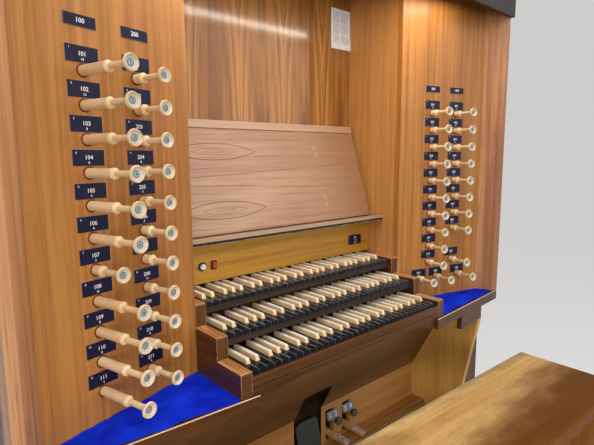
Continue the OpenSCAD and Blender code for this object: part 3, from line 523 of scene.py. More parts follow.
def mirrored_eyes(s, place, colour):
    """Two mirrored leaves, each with a long pointed eye and with lines that part from the joint."""
    x, _, up = s.split(place)
    fold = s.size(s.minus(up, desk_foot + mm(DESK_JOINT)))
    folded = s.node("CombineXYZ", {0: x, 1: fold}).outputs[0]
    wander = s.minus(s.noise(folded, (5, 20, 1), detail=2), 0.5)
    level = s.linear(wander, mm(9), fold)
    away = s.size(s.minus(level, mm(EYE_UP)))
    along = s.over(s.minus(x, mm(EYE_X)), mm(EYE_L))
    square = s.times(along, along)
    dark = None
    for length, height, width, strength in EYE_RINGS:
        lens = s.linear(square, -1 / length ** 2, 1.0)
        rim = line(s, s.linear(lens, -mm(EYE_H * height), away), width)
        inside = s.above(lens, 0.0)
        drawn = s.times(s.times(rim, inside), strength)
        dark = s.math("MAXIMUM", dark, drawn) if dark else drawn
    parting = s.minus(level, s.linear(x, PARTING_RISE, mm(PARTING_UP)))
    phase = s.plus(s.over(parting, mm(LINE_GAP)), 4.0)
    bulge = s.minus(1.0, square)
    clear = s.minus(s.over(away, mm(EYE_H * 1.3)), bulge)
    outside = s.remap(clear, 0.0, 0.5)
    fade = s.remap(s.noise(folded, (4, 24, 1), detail=3), 0.35, 0.6, 0.1, 0.75)
    rows = s.times(s.times(ring_lines(s, phase, 12.0), outside), fade)
    first = s.times(line(s, parting, 2.2), s.math("MAXIMUM", fade, 0.5))
    rows = s.math("MAXIMUM", rows, first)
    fine = s.times(ring_lines(s, s.times(phase, 5.0), 2.0), 0.16)
    dark = s.math("MAXIMUM", s.math("MAXIMUM", dark, rows), fine)
    clouds = s.remap(s.noise(folded, (3, 14, 1), detail=4), 0.4, 0.64)
    colour = s.mix(s.times(clouds, 0.45), colour, rgb(150, 118, 104))
    colour = s.mix(dark, colour, rgb(98, 64, 50))
    knot_x = s.over(s.minus(x, mm(KNOT_X)), mm(KNOT_W))
    knot_z = s.over(away, mm(KNOT_H))
    reach = s.plus(s.times(knot_x, knot_x), s.times(knot_z, knot_z))
    ragged = s.remap(s.noise(folded, (90, 60, 1), detail=4, rough=0.65), 0.4, 0.58)
    knot = s.times(s.remap(reach, 0.1, 1.0, 1.0, 0.0), ragged)
    colour = s.mix(s.times(knot, 0.6), colour, rgb(232, 204, 166))
    # Painted shade: the desk darkens towards the right.
    painted_shade_right = s.remap(x, -0.22, 0.42, 0.0, 0.8)
    colour = s.mix(painted_shade_right, colour, rgb(146, 102, 70))
    band = s.above(up, desk_foot + desk_length - mm(BAND_H))
    return s.mix(s.times(band, 0.2), colour, rgb(228, 200, 176))


def waves(spacing, sway_size=2.5):
    """Long wavy lines along the grain."""
    def lines(s, board):
        x, y, _ = s.split(board)
        sway = s.times(s.noise(board, (12, 12, 2.2), warp=0.6), sway_size)
        phase = s.plus(s.over(s.plus(x, y), spacing), sway)
        fade = s.remap(s.noise(board, (20, 20, 2)), 0.35, 0.65, 0.25, 1.0)
        return s.times(ring_lines(s, phase, 2.5), fade)
    return lines


def plastic(name, colour, rough=0.3, grain=0.0, shine=0.5):
    """Smooth moulded plastic, enamel or ceramic with slight unevenness."""
    s = Shader(name)
    cloud = s.noise(s.place(), (60, 60, 60), detail=3)
    tone = s.mix(s.remap(cloud, 0.35, 0.65), darker(colour, 0.86), colour)
    speck = s.noise(s.place(), (1500, 1500, 1500), detail=1)
    s.bump(speck, 0.00005, 0.15 + grain)
    matt = s.remap(cloud, 0.3, 0.7, rough - 0.05, rough + 0.07)
    return s.finish(tone, matt, Specular_IOR_Level=shine)


def metal(name, colour, rough=0.35):
    """Brushed or cast metal with dull patches."""
    s = Shader(name)
    place = s.place()
    lines = s.noise(place, (40, 900, 900), detail=2)
    dull = s.remap(s.noise(place, (35, 35, 35), detail=4), 0.4, 0.62)
    tone = s.mix(dull, colour, darker(colour, 0.55))
    s.bump(lines, 0.00006, 0.4)
    return s.finish(tone, s.remap(dull, 0, 1, rough, rough + 0.2), Metallic=1.0)


def felt_cloth(name, pale, deep):
    """Wool felt with short fuzz and cloudy tone."""
    s = Shader(name)
    place = s.place()
    cloud = s.noise(place, (14, 14, 14), detail=4)
    fuzz = s.noise(place, (900, 900, 900), detail=3, rough=0.7)
    tone = s.plus(s.times(cloud, 0.7), s.times(fuzz, 0.3))
    colour = s.ramp(s.remap(tone, 0.35, 0.65), (0.0, deep), (1.0, pale))
    s.bump(fuzz, 0.0006, 0.6)
    return s.finish(colour, 0.95, Specular_IOR_Level=0.1)


# Finishes

TEAK_PALE, TEAK_DEEP = rgb(188, 128, 64), rgb(146, 92, 42)
BROWN_PALE, BROWN_DEEP = rgb(98, 58, 28), rgb(54, 31, 14)
CASE_PALE, CASE_DEEP = rgb(120, 76, 40), rgb(72, 42, 20)
BENCH_PALE, BENCH_DEEP = rgb(178, 124, 66), rgb(124, 78, 38)
# Pale edges: wear, and on the stiles also a painted highlight.
WORN_AND_GLINT_EDGE = rgb(214, 178, 132)
BENCH_TURN = math.radians(2.5)
BAND_H = 26

desk_low, desk_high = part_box("music_desk")
DESK_LEAN = math.radians(18)
desk_foot = desk_low.y * math.sin(DESK_LEAN) + desk_low.z * math.cos(DESK_LEAN)
desk_length = (desk_high.z - desk_low.z) / math.cos(DESK_LEAN)
ledge_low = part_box("desk_ledge")[0]


def aged_bench(s, place, colour):
    """The bench is worn grey at its back edge and in patches; its front and right are darker, partly
    deeper varnish and partly painted shade.
    """
    x, y, _ = s.split(place)
    ragged = s.times(s.minus(s.noise(place, (9, 22, 9), detail=5), 0.5), 0.12)
    across = s.plus(y, ragged)
    back = s.remap(across, -0.165, -0.125)
    front = s.remap(s.linear(x, -0.1, across), -0.235, -0.40)
    patches = s.remap(s.noise(place, (3.2, 7, 3), detail=4, rough=0.6), 0.52, 0.68)
    specks = s.remap(s.noise(place, (60, 160, 60), detail=3, rough=0.7), 0.6, 0.7)
    # Darker towards the front and right: partly deeper varnish, partly painted shade.
    colour = s.mix(s.times(front, 0.95), colour, rgb(104, 56, 4))
    colour = s.mix(s.times(patches, 0.45), colour, rgb(128, 92, 52))
    colour = s.mix(s.times(specks, 0.35), colour, rgb(96, 62, 34))
    return s.mix(s.times(back, 0.6), colour, rgb(140, 126, 104))


def bright_tops(s, place, colour):
    """The cheeks' tops are painted pale orange as lit faces, and their sides and fronts keep the dark
    wood as painted shade.
    """
    up = s.normal()[2]
    grain = s.remap(s.noise(place, (110, 5, 110), detail=4), 0.36, 0.64)
    lit_tops = s.mix(grain, rgb(166, 106, 60), rgb(216, 158, 104))
    return s.mix(s.remap(up, 0.5, 0.9), colour, lit_tops)


HIGHLIGHT_LINE_H = 2.6


def pale_line(s, place, colour):
    """A pale line painted along the shelf's top front edge as a highlight."""
    z = s.split(place)[2]
    y = s.normal()[1]
    front = s.below(y, -0.2)
    top = s.above(z, DATUM.z + mm(SHELF_Z - HIGHLIGHT_LINE_H))
    return s.mix(s.times(front, top), colour, rgb(226, 190, 164))


# The key slip's groove below the datum: its middle, half its height, and how deep it starts
GROOVE_Z, GROOVE_HALF, GROOVE_Y = 50.5, 1.3, 50.6


def dark_groove(s, place, colour):
    """The groove along the key slip is painted dark as shade."""
    _, y, z = s.split(place)
    level = s.size(s.minus(z, DATUM.z - mm(GROOVE_Z)))
    inside = s.above(y, DATUM.y - mm(GROOVE_Y))
    groove = s.times(s.below(level, mm(GROOVE_HALF)), inside)
    return s.mix(groove, colour, rgb(24, 14, 8))


SLOT_HALF = 67


def cut_slot(s, place, colour):
    """The cut walls of the swell pedal's slot are painted dark as shade."""
    x = s.size(s.minus(s.split(place)[0], mm(SWELL_X)))
    side = s.size(s.normal()[0])
    near = s.below(x, mm(SLOT_HALF))
    shaded_wall = s.times(near, s.above(side, 0.7))
    return s.mix(shaded_wall, colour, rgb(44, 28, 16))


def sharps_finish(name, cap_z):
    """Sharps of pale pear wood with a white cap, which starts at the given height."""
    s = Shader(name)
    place = s.place()
    streaks = s.noise(place, (260, 12, 260), detail=3)
    grain = s.remap(streaks, 0.35, 0.65)
    pear = s.ramp(grain, (0.0, rgb(228, 192, 140)), (1.0, rgb(246, 216, 168)))
    bone = s.mix(s.remap(streaks, 0.3, 0.7), rgb(250, 244, 230), rgb(254, 252, 246))
    cap = s.above(s.split(place)[2], cap_z)
    s.bump(streaks, 0.00008, 0.3)
    return s.finish(s.mix(cap, pear, bone), 0.3)


# The steel tread of a coupler pedal: its rear end behind and its lower face below the datum
TREAD_BACK = 226
TREAD_LOW = 541.2


def lever_finish(name):
    """A golden wooden arm with a worn steel tread let into its front end."""
    s = Shader(name)
    place = s.place()
    _, y, z = s.split(place)
    ahead = s.below(y, DATUM.y + mm(TREAD_BACK))
    tread = s.times(ahead, s.above(z, DATUM.z - mm(TREAD_LOW)))
    grain = s.remap(s.noise(place, (300, 9, 300), detail=3), 0.35, 0.65)
    arm = s.ramp(grain, (0.0, rgb(176, 126, 62)), (1.0, rgb(222, 176, 104)))
    dull = s.remap(s.noise(place, (60, 60, 60), detail=4), 0.4, 0.62)
    plate = s.mix(dull, rgb(224, 212, 212), rgb(176, 162, 162))
    s.bump(grain, 0.0002, 0.4)
    return s.finish(s.mix(tread, arm, plate), 0.42, Metallic=s.times(tread, 0.35))


NATURAL_PITCH = 23.5
NATURALS = 33


def key_gaps(s, place, colour):
    """Pale lines painted on both sides of each gap between the naturals, as glints on their rounded
    edges.
    """
    x = s.split(place)[0]
    share = s.over(s.plus(x, mm(NATURAL_PITCH * NATURALS / 2)), mm(NATURAL_PITCH))
    off = s.minus(s.math("FRACT", s.plus(share, 0.5)), 0.5)
    away = s.times(s.size(off), mm(NATURAL_PITCH))
    gap_glint = s.remap(away, mm(0.7), mm(2.0), 1.0, 0.0)
    uneven = s.remap(s.noise(place, (60, 25, 60), detail=3), 0.35, 0.6, 0.45, 0.95)
    up = s.remap(s.normal()[2], 0.1, 0.6, 0.15, 1.0)
    mask = s.times(s.times(gap_glint, uneven), up)
    return s.mix(mask, colour, rgb(176, 184, 204))


def rail_steps(s, place, colour):
    """The toe rail's risers are painted dark as shade; its treads keep the golden wood."""
    up = s.normal()[2]
    return s.mix(s.remap(up, 0.4, 0.7, 0.85, 0.0), colour, rgb(66, 42, 22))


LEDGE_SHADE_H = 8


def dark_foot(s, place, colour):
    """A dark strip painted as shade along the lower part of the ledge's front."""
    z = s.split(place)[2]
    return s.mix(s.below(z, ledge_low.z + mm(LEDGE_SHADE_H)), colour, rgb(24, 16, 10))


# The boards of the case's back in metres: half its width, and the width of a board
BACK_HALF, BOARD_W = 0.846, 0.282


def slotted(s, place, colour):
    """Dark joints between the upright boards of the case's back."""
    x = s.split(place)[0]
    share = s.math("FRACT", s.over(s.plus(x, BACK_HALF), BOARD_W))
    gap = s.below(share, 0.008)
    return s.mix(gap, colour, rgb(20, 12, 8))


jamb_left, jamb_right = (
    wood(f"teak_{side}_jamb", TEAK_PALE, TEAK_DEEP, turn=(0, 0, turn), streak=0.6, gloss=0.36)
    for side, turn in (("left", -SPLAY), ("right", SPLAY))
)
return_teak = wood("teak_returns", rgb(206, 148, 84), rgb(172, 118, 60), streak=0.5, gloss=0.36)
# The stile's pale edges are partly wear and partly a painted highlight.
stile_teak = wood("stile_wood", rgb(216, 160, 114), rgb(152, 98, 64), streak=0.5, gloss=0.4,
                  worn=WORN_AND_GLINT_EDGE, worn_r=3, figure=waves(0.05), figure_dark=0.35)
panel_walnut = wood("panel_walnut", rgb(166, 112, 54), rgb(114, 70, 28), streak=0.55, gloss=0.3,
                    shine=0.2, coat=0.55, stain=leaves)
desk_walnut = wood("desk_walnut", rgb(188, 156, 130), rgb(146, 112, 90), along="x",
                   turn=(DESK_LEAN, 0, 0), streak=0.5, gloss=0.42, pore=0.25,
                   worn=rgb(230, 204, 176), worn_r=3, stain=mirrored_eyes)
nameboard_honey = wood("nameboard_honey", rgb(206, 152, 58), rgb(160, 108, 34), along="x",
                       streak=0.3, gloss=0.4, figure=waves(0.035), figure_dark=0.25)
ledge_wood = wood("ledge_wood", rgb(190, 160, 134), rgb(138, 108, 84), along="x", gloss=0.35,
                  worn=rgb(226, 210, 192), worn_r=4, stain=dark_foot)
slip_wood = wood("slip_wood", BROWN_PALE, BROWN_DEEP, along="x", gloss=0.38,
                 worn=rgb(150, 100, 60), worn_r=2, stain=dark_groove)
# The cheeks' wood is painted dark as shade on their sides and fronts; their pale edges are partly
# wear and partly a painted highlight.
cheek_wood = wood("cheek_wood", rgb(106, 64, 33), rgb(66, 38, 18), along="y", cross="z",
                  gloss=0.34, worn=rgb(240, 196, 140), worn_r=3, stain=bright_tops)
shelf_wood = wood("shelf_wood", BROWN_PALE, BROWN_DEEP, along="x", gloss=0.4, stain=pale_line)
# The kneeboard's honey wood is painted darker, as the shade of the knee space.
knee_wood = wood("knee_wood", rgb(126, 88, 46), rgb(100, 67, 33), along="x", gloss=0.45,
                 streak=0.25, stain=cut_slot)
toe_wood = wood("toe_wood", rgb(190, 138, 76), rgb(156, 106, 54), along="x", gloss=0.45, streak=0.3,
                worn=rgb(226, 184, 128), worn_r=3, stain=cut_slot)
# The toe rail's pale edges are painted highlights.
toe_rail_wood = wood("toe_rail_wood", rgb(194, 140, 72), rgb(124, 80, 36), along="x", gloss=0.42,
                     worn=rgb(252, 216, 150), worn_r=3, stain=rail_steps)
# The knee sides' honey wood is painted paler, as light falling on them.
lit_knee_side_wood = wood("knee_side_honey", rgb(236, 184, 102), rgb(204, 150, 72), gloss=0.4,
                      streak=0.35, figure=waves(0.045), figure_dark=0.2)
case_wood = wood("case_wood", CASE_PALE, CASE_DEEP, gloss=0.42)
top_wood = wood("top_wood", CASE_PALE, CASE_DEEP, along="x", gloss=0.42)
back_wood = wood("back_wood", rgb(126, 82, 46), rgb(78, 48, 25), gloss=0.5, stain=slotted)
# The lintel's wood is painted this dark as shade on its unlit front.
lintel_dark = wood("lintel_dark", rgb(66, 44, 30), rgb(34, 22, 15), along="x", gloss=0.4)
bed_dark = wood("bed_dark", rgb(62, 44, 30), rgb(30, 20, 14), along="x", gloss=0.45)
# Ebony of the naturals is nearly black; its bluish tint is a painted reflection, and its pale edges
# are painted glints.
ebony = wood("ebony", rgb(16, 20, 32), rgb(7, 9, 16), along="y", gloss=0.26, shine=0.2, streak=0.7,
             pore=0.1, worn=rgb(92, 100, 116), worn_r=0.8, stain=key_gaps)
pedal_oak = wood("pedal_oak", rgb(186, 146, 96), rgb(138, 100, 58), along="y", cross="x",
                 gloss=0.45, worn=rgb(208, 178, 134), worn_r=4)
pedal_dark = wood("pedal_dark", rgb(66, 40, 26), rgb(34, 20, 14), along="y", gloss=0.35,
                  worn=rgb(126, 88, 60), worn_r=4)
bench_honey = wood("bench_honey", rgb(240, 200, 136), rgb(206, 160, 96), along="x",
                   turn=(0, 0, BENCH_TURN), streak=0.4, gloss=0.45, shine=0.04,
                   worn=rgb(206, 168, 118), worn_r=2.5, figure=waves(0.06), figure_dark=0.2,
                   stain=aged_bench)
bench_side = wood("bench_side", BENCH_PALE, BENCH_DEEP, gloss=0.42, worn=WORN_AND_GLINT_EDGE, worn_r=4)
bench_rail = wood("bench_rail", BENCH_PALE, BENCH_DEEP, along="x", gloss=0.42)
maple = wood("knob_maple", rgb(250, 226, 184), rgb(226, 190, 140), along="y", streak=0.35,
             gloss=0.34, pore=0.15, worn=rgb(248, 232, 206), worn_r=1.5)
rim_maple = plastic("rim_maple", rgb(240, 214, 178), 0.35)
lamp_white = plastic("lamp_enamel", rgb(232, 230, 224), 0.35)
switch_black = plastic("switch_black", rgb(24, 24, 26), 0.28)
label_face = plastic("label_face", rgb(19, 18, 50), 0.34, shine=0.2)
label_core = plastic("label_core", rgb(236, 232, 236), 0.4)
label_edge = plastic("label_edge", rgb(126, 116, 122), 0.5)
disc_white = plastic("disc_ceramic", rgb(214, 208, 198), 0.22)
# The ring round the button is grey, darkened further as painted shade in the dish's hollow.
grey_ring_and_shade = plastic("disc_ring", rgb(62, 62, 62), 0.4)
disc_button = plastic("disc_button", rgb(158, 172, 176), 0.25)
ink = plastic("ink", rgb(18, 34, 44), 0.5)
button_white = plastic("button_white", rgb(240, 240, 238), 0.2)
rocker_red = plastic("rocker_red", rgb(206, 52, 26), 0.25)
rubber = plastic("tread_rubber", rgb(52, 56, 52), 0.6, grain=0.4)
paper = plastic("paper", rgb(228, 232, 240), 0.85)
paper_line = plastic("paper_line", rgb(166, 168, 182), 0.85)
steel = metal("worn_steel", rgb(172, 168, 166))
stud_rubber = plastic("stud_rubber", rgb(58, 66, 62), 0.5, grain=0.3)
toe_plate_grey = plastic("toe_plate_grey", rgb(122, 118, 134), 0.4)
lever = lever_finish("coupler_lever")
brass = metal("brass_screw", rgb(186, 148, 82), 0.3)
# Dark colour of the coupler treads' screw heads, and painted shade in the screws' slots.
dark_heads_and_slot_shade = plastic("dark_heads_and_slot_shade", rgb(18, 16, 15), 0.7)
blue_felt = felt_cloth("blue_felt", rgb(18, 60, 246), rgb(8, 34, 200))
red_felt = felt_cloth("red_felt", rgb(142, 74, 44), rgb(100, 46, 28))


# Finishes on the CAD nodes

def dress(node, material, edge=0.0):
    """Gives a CAD node its finish, and rounds its edges by edge millimetres."""
    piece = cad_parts[node]
    for place in piece.material_slots:
        place.material = material
    if edge:
        weld = piece.modifiers.new("weld", "WELD")
        weld.merge_threshold = 2e-5
        bevel = piece.modifiers.new("edge", "BEVEL")
        bevel.width = mm(edge)
        bevel.segments = 2
        bevel.limit_method = "ANGLE"
        bevel.angle_limit = math.radians(38)
        even = piece.modifiers.new("even", "WEIGHTED_NORMAL")
        even.keep_sharp = False


CAP_T = 1.6
for manual in (1, 2, 3):
    dress(f"manual_{manual}_naturals", ebony, 0.5)
    cap_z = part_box(f"manual_{manual}_sharps")[1].z - mm(CAP_T)
    dress(f"manual_{manual}_sharps", sharps_finish(f"sharps_{manual}", cap_z), 0.7)
for stop in range(1, 12):
    dress(f"pedal_stop_{stop}", maple)
for node, material, edge in (
    ("left_jamb", jamb_left, 0.5), ("right_jamb", jamb_right, 0.5), ("returns", return_teak, 0.8),
    ("stiles", stile_teak, 1.5), ("lintel", lintel_dark, 1.5), ("back_panel", panel_walnut, 0.5),
    ("case_sides", case_wood, 1.0), ("lower_fronts", case_wood, 1.0), ("case_back", back_wood, 1.0),
    ("case_top", top_wood, 1.5), ("console_lamp", lamp_white, 2.0), ("keybed", shelf_wood, 1.0),
    ("key_slip", slip_wood, 1.0), ("key_beds", bed_dark, 0.8), ("cheeks", cheek_wood, 1.5),
    ("nameboard", nameboard_honey, 0.8), ("nameboard_switches", switch_black, 0.4),
    ("desk_ledge", ledge_wood, 1.8), ("music_desk", desk_walnut, 1.2), ("shelves", shelf_wood, 1.5),
    ("kneeboard", knee_wood, 1.0), ("toe_board", toe_wood, 1.0), ("toe_rail", toe_rail_wood, 1.2),
    ("knee_sides", lit_knee_side_wood, 1.5), ("aprons", shelf_wood, 1.5), ("toe_studs", stud_rubber, 0),
    ("swell_pedal", switch_black, 1.0), ("swell_bearings", steel, 0.6),
    ("coupler_pedal_1", lever, 0.5), ("coupler_pedal_2", lever, 0.5),
    ("coupler_brackets", steel, 0.5), ("pedal_frame", pedal_oak, 2.0),
    ("pedal_naturals", pedal_oak, 2.0), ("pedal_sharps", pedal_dark, 2.0),
    ("bench_top", bench_honey, 1.5),
    ("bench_ends", bench_side, 1.5), ("bench_stretcher", bench_rail, 2.0),
    ("left_inner_stops", maple, 0), ("right_stops", maple, 0),
):
    dress(node, material, edge)


# Labels: dark plates with a white core, which shows along their bevelled edges

LABEL_W, LABEL_H = 68, 31
HEADER_W, HEADER_H = 66, 22
LABEL_RISE = 29.5
CORE_T = 1.3
FACE_T = 0.3
FACE_SINK = 0.05
FACE_INSET = 0.35
NAME_H, FOOT_H, ROW_H, HEADER_TEXT_H = 8.5, 5, 4.2, 9


def label(piece, place, width, height, texts):
    """A label: texts are (text, height, x, y) from its middle, in millimetres."""
    piece.use(label_edge).plate(width, height, CORE_T, place, radius=0.8, chamfer=0.3)
    width -= 2 * FACE_INSET
    height -= 2 * FACE_INSET
    piece.use(label_face).plate(width, height, FACE_T, place, 0.5, 0.1, CORE_T - FACE_SINK)
    piece.use(label_core)
    top = mm(CORE_T + FACE_T)
    for text, size, x, y in texts:
        piece.add(number_mesh(text, size), place @ Matrix.Translation(Vector((mm(x), mm(y), top))))


def stop_label(piece, side, u, z, index, series, foot):
    """A stop's label: its row in the corner, its number in the middle and its pitch below."""
    texts = [
        (str(index), ROW_H, -26, 9.5),
        (str(series + index), NAME_H, 0, 0.5),
        (str(foot), FOOT_H, 0, -9.5),
    ]
    label(piece, on_jamb(side, u, z + LABEL_RISE), LABEL_W, LABEL_H, texts)


def header(piece, side, u, z, series):
    """The label over a column of stops."""
    label(piece, on_jamb(side, u, z), HEADER_W, HEADER_H, [(str(series), HEADER_TEXT_H, 0, 0)])


FEET = [16, 16, 8, 8, 4, 4, 2, 16, 8, 8, 4]
LEFT_HEADER_Z = 734
RIGHT_HEADER_Z = 721
COUPLER_LABEL_Z = 36.5

labels = Piece("left_labels")
for series, u in ((100, LEFT_OUTER_U), (200, LEFT_INNER_U)):
    header(labels, -1, u, LEFT_HEADER_Z, series)
    for row, z in enumerate(LEFT_ROWS):
        stop_label(labels, -1, u, z, row + 1, series, FEET[row])
labels.done(slot="switch_black")

labels = Piece("right_labels")
for series, u in ((300, RIGHT_INNER_U), (400, RIGHT_OUTER_U)):
    header(labels, 1, u, RIGHT_HEADER_Z, series)
    for row, z in enumerate(RIGHT_ROWS):
        if u == RIGHT_INNER_U or row != EMPTY_ROW:
            stop_label(labels, 1, u, z, row + 1, series, FEET[row])
for number, u in enumerate(COUPLER_U):
    texts = [(str(501 + number), NAME_H, 0, 0.5)]
    label(labels, on_jamb(1, u, COUPLER_LABEL_Z), LABEL_W, LABEL_H, texts)
labels.done(slot="switch_black")


# Number discs in the dished heads of the stops, and felt rings round their shanks

RIM = [(13.95, 5.1), (13.6, 5.75), (13.2, 5.4), (12.7, 4.2), (12.0, 3.1), (11.4, 2.5)]
BOWL = [(11.4, 2.5), (11.0, 2.1), (9.7, 1.4), (8.2, 1.0), (7.0, 0.9)]
RING = [(7.0, 0.9), (6.5, 0.75), (5.5, 0.75)]
BUTTON = [(5.6, 0.8), (5.4, 1.25), (5.0, 1.4)]
BUTTON_TEXT_H = 6.2
INNER_FIRST, RIGHT_FIRST = 12, 23


def disc(piece, place, number):
    """A stop's dish: a turned rim, a ceramic bowl, a grey ring darkened as painted shade, and a
    numbered button.
    """
    piece.use(rim_maple).lathe(RIM, place, caps=(0, 0))
    piece.use(disc_white).lathe(BOWL, place, caps=(0, 0))
    piece.use(grey_ring_and_shade).lathe(RING, place, caps=(0, 0))
    piece.use(disc_button).lathe(BUTTON, place, caps=(0, 1))
    face = place @ Matrix.Translation(mm(0, 0, BUTTON[-1][1]))
    piece.use(ink).add(number_mesh(str(number), BUTTON_TEXT_H), face)


def head(side, u, z, pushed):
    """Frame at the bottom of a stop's dish."""
    return on_jamb(side, u, z, STOP_OUT - DISH_D - (STOP_TRAVEL if pushed else 0))


for row, z in enumerate(LEFT_ROWS):
    number = row + 1
    made = Piece(f"pedal_stop_{number}_disc")
    disc(made, head(-1, LEFT_OUTER_U, z, number == PUSHED_STOP), number)
    made.done(body=f"pedal_stop_{number}", slot="ivory")

discs = Piece("left_inner_discs")
for row, z in enumerate(LEFT_ROWS):
    disc(discs, head(-1, LEFT_INNER_U, z, True), row + INNER_FIRST)
discs.done(slot="ivory")

right_places = [(RIGHT_INNER_U, z) for z in RIGHT_ROWS]
right_places += [(RIGHT_OUTER_U, z) for row, z in enumerate(RIGHT_ROWS) if row != EMPTY_ROW]
right_places += [(u, COUPLER_Z) for u in COUPLER_U]
discs = Piece("right_discs")
for count, (u, z) in enumerate(right_places):
    disc(discs, head(1, u, z, True), count + RIGHT_FIRST)
discs.done(slot="ivory")

FELT_RING = [(10.6, 0), (10.6, 1.0), (11.2, 1.3), (12.6, 1.2), (13.2, 0.7), (13.4, 0)]
rings = Piece("felt_rings").use(red_felt)
for u in (LEFT_INNER_U, LEFT_OUTER_U):
    for z in LEFT_ROWS:
        rings.lathe(FELT_RING, on_jamb(-1, u, z), 28, caps=(0, 0))
for u, z in right_places:
    rings.lathe(FELT_RING, on_jamb(1, u, z), 28, caps=(0, 0))
rings.done()


# Felt sheets on the shelves

FELT_T = 2.0
FELT_LIFT = 0.3
FELT_GAP = 1.5
FELT_PAST_JAMB = 17
FRONT_SET = 3
FOLDS = 6
SHELF_INNER = 374.95
SHELF_FRONT = -62
FRONT_FALL = 33
shelf_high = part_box("shelves")[1]
SHELF_FALL = FRONT_FALL / (shelf_high.x * 1000 - SHELF_INNER)


def cloth_sheet(side, name, seed):
    """A loose felt sheet over one shelf, with soft folds and a wandering front edge."""
    inner = NICHE_X * 1000 + FELT_GAP
    outer = JAMB_END_X * 1000 + FELT_PAST_JAMB
    draw = random.Random(seed).uniform
    folds = [
        (draw(0.1, 0.9), draw(-0.5, 0.5), draw(1.2, 3.0), draw(9, 20)) for _ in range(FOLDS)
    ]

    def front(x):
        return SHELF_FRONT + (x - SHELF_INNER) * SHELF_FALL + FRONT_SET

    def back(x):
        return JAMB_FRONT - (x - NICHE_X * 1000) * math.tan(SPLAY) - FELT_GAP

    def point(s, t):
        x = inner + (outer - inner) * s
        sway = noise.noise(Vector((s * 3.1, seed, 0.3)))
        low = front(x) + 2.0 + 3.0 * sway
        high = min(back(x), JAMB_FRONT - FELT_GAP)
        y = low + (high - low) * t
        lift = 0.0
        for at, lean, size, width in folds:
            away = (s - at) * (outer - inner) * 0.8 - lean * (y - (low + high) / 2)
            away += 10 * noise.noise(Vector((t * 2.2, at * 9, seed)))
            lift += size * math.exp(-(away / width) ** 2)
        lift += 0.7 * (1 + noise.noise(Vector((s * 7, t * 4, seed + 5.0))))
        curl = 3.0 * max(0.0, 1 - t / 0.09) ** 2 * max(0.0, sway + 0.2)
        return at_datum(side * x, y, SHELF_Z + FELT_LIFT + lift + curl)

    made = Piece(name).use(blue_felt).grid(point, 96, 44).done(slot="blue_felt", smooth=80)
    solid = made.modifiers.new("thickness", "SOLIDIFY")
    solid.thickness = mm(FELT_T)
    solid.offset = 1 if side > 0 else -1
    return made


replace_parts(cloth_sheet(-1, "left_felt_sheet", 3.0), "left_felt")
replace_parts(cloth_sheet(1, "right_felt_sheet", 8.0), "right_felt")


# Nameboard: button cap, rocker and numbered plate

# The switches' height, a little below the middle of the nameboard
MANUAL_RISE = 58.4
NAMEBOARD_GAP, NAMEBOARD_TOP, SWITCH_DROP = 3, 243, 12
SWITCH_Z = (2 * MANUAL_RISE + NAMEBOARD_GAP + NAMEBOARD_TOP) / 2 - SWITCH_DROP
BUTTON_X, ROCKER_X, PLATE_X = -318, -280, 337
PLATE_W, PLATE_H, PLATE_OUT = 66, 34, 3.0
CAP = [(8.8, 4.1), (8.8, 8.6), (8.2, 9.8), (6.4, 10.7), (3.2, 11.2)]


def on_nameboard(x, z, out):
    origin = at_datum(x, NAMEBOARD_Y - out, z)
    return facing(origin, (1, 0, 0), (0, 0, 1))


cap = Piece("button_cap").use(button_white)
cap.lathe(CAP, on_nameboard(BUTTON_X, SWITCH_Z, 0))
cap.done(slot="lamp_white")

rocker = Piece("rocker_key").use(rocker_red)
rocker.loft([
    rounded(12, 19.5, 1.2, 4.0),
    rounded(12, 19.5, 1.2, 5.2),
    [p + mm(0, 0, 2.4 * abs(p.y) / mm(9)) for p in rounded(11.2, 18.6, 1.0, 5.6)],
], on_nameboard(ROCKER_X, SWITCH_Z, 0))
rocker.done()

plate = Piece("nameboard_plate_face")
texts = [("600", 6, 0, 8), ("1 2 3", 5, 0, -1), ("4 5 6", 5, 0, -10)]
label(plate, on_nameboard(PLATE_X, SWITCH_Z, PLATE_OUT), PLATE_W, PLATE_H, texts)
plate.done(slot="switch_black")


# Toe area: ribbed tread, numbered plates, screws of the steel treads

SWELL_W, SWELL_L = 108, 240
SWELL_TOP = at_datum(SWELL_X, 262, -447)
SWELL_LEAN = math.radians(12)
up_slope = Vector((0, math.sin(SWELL_LEAN), math.cos(SWELL_LEAN)))
tread_frame = facing(SWELL_TOP - up_slope * mm(SWELL_L / 2), (1, 0, 0), up_slope)
tread = Piece("swell_tread").use(rubber)
tread.plate(SWELL_W - 6, SWELL_L - 6, 2.0, tread_frame, radius=19, chamfer=0.8)
RIBS, RIB_PITCH, RIB_ENDS = 15, 5.6, 34
for rib in range(RIBS):
    x = (rib - (RIBS - 1) / 2) * RIB_PITCH
    length = SWELL_L - RIB_ENDS - 0.225 * abs(x) ** 1.2
    tread.plate(3.0, length, 1.3, tread_frame @ Matrix.Translation(mm(x, 0, 0)), 1.2, 0.5, 1.8)
tread.done(body="swell_pedal", slot="rubber_black")

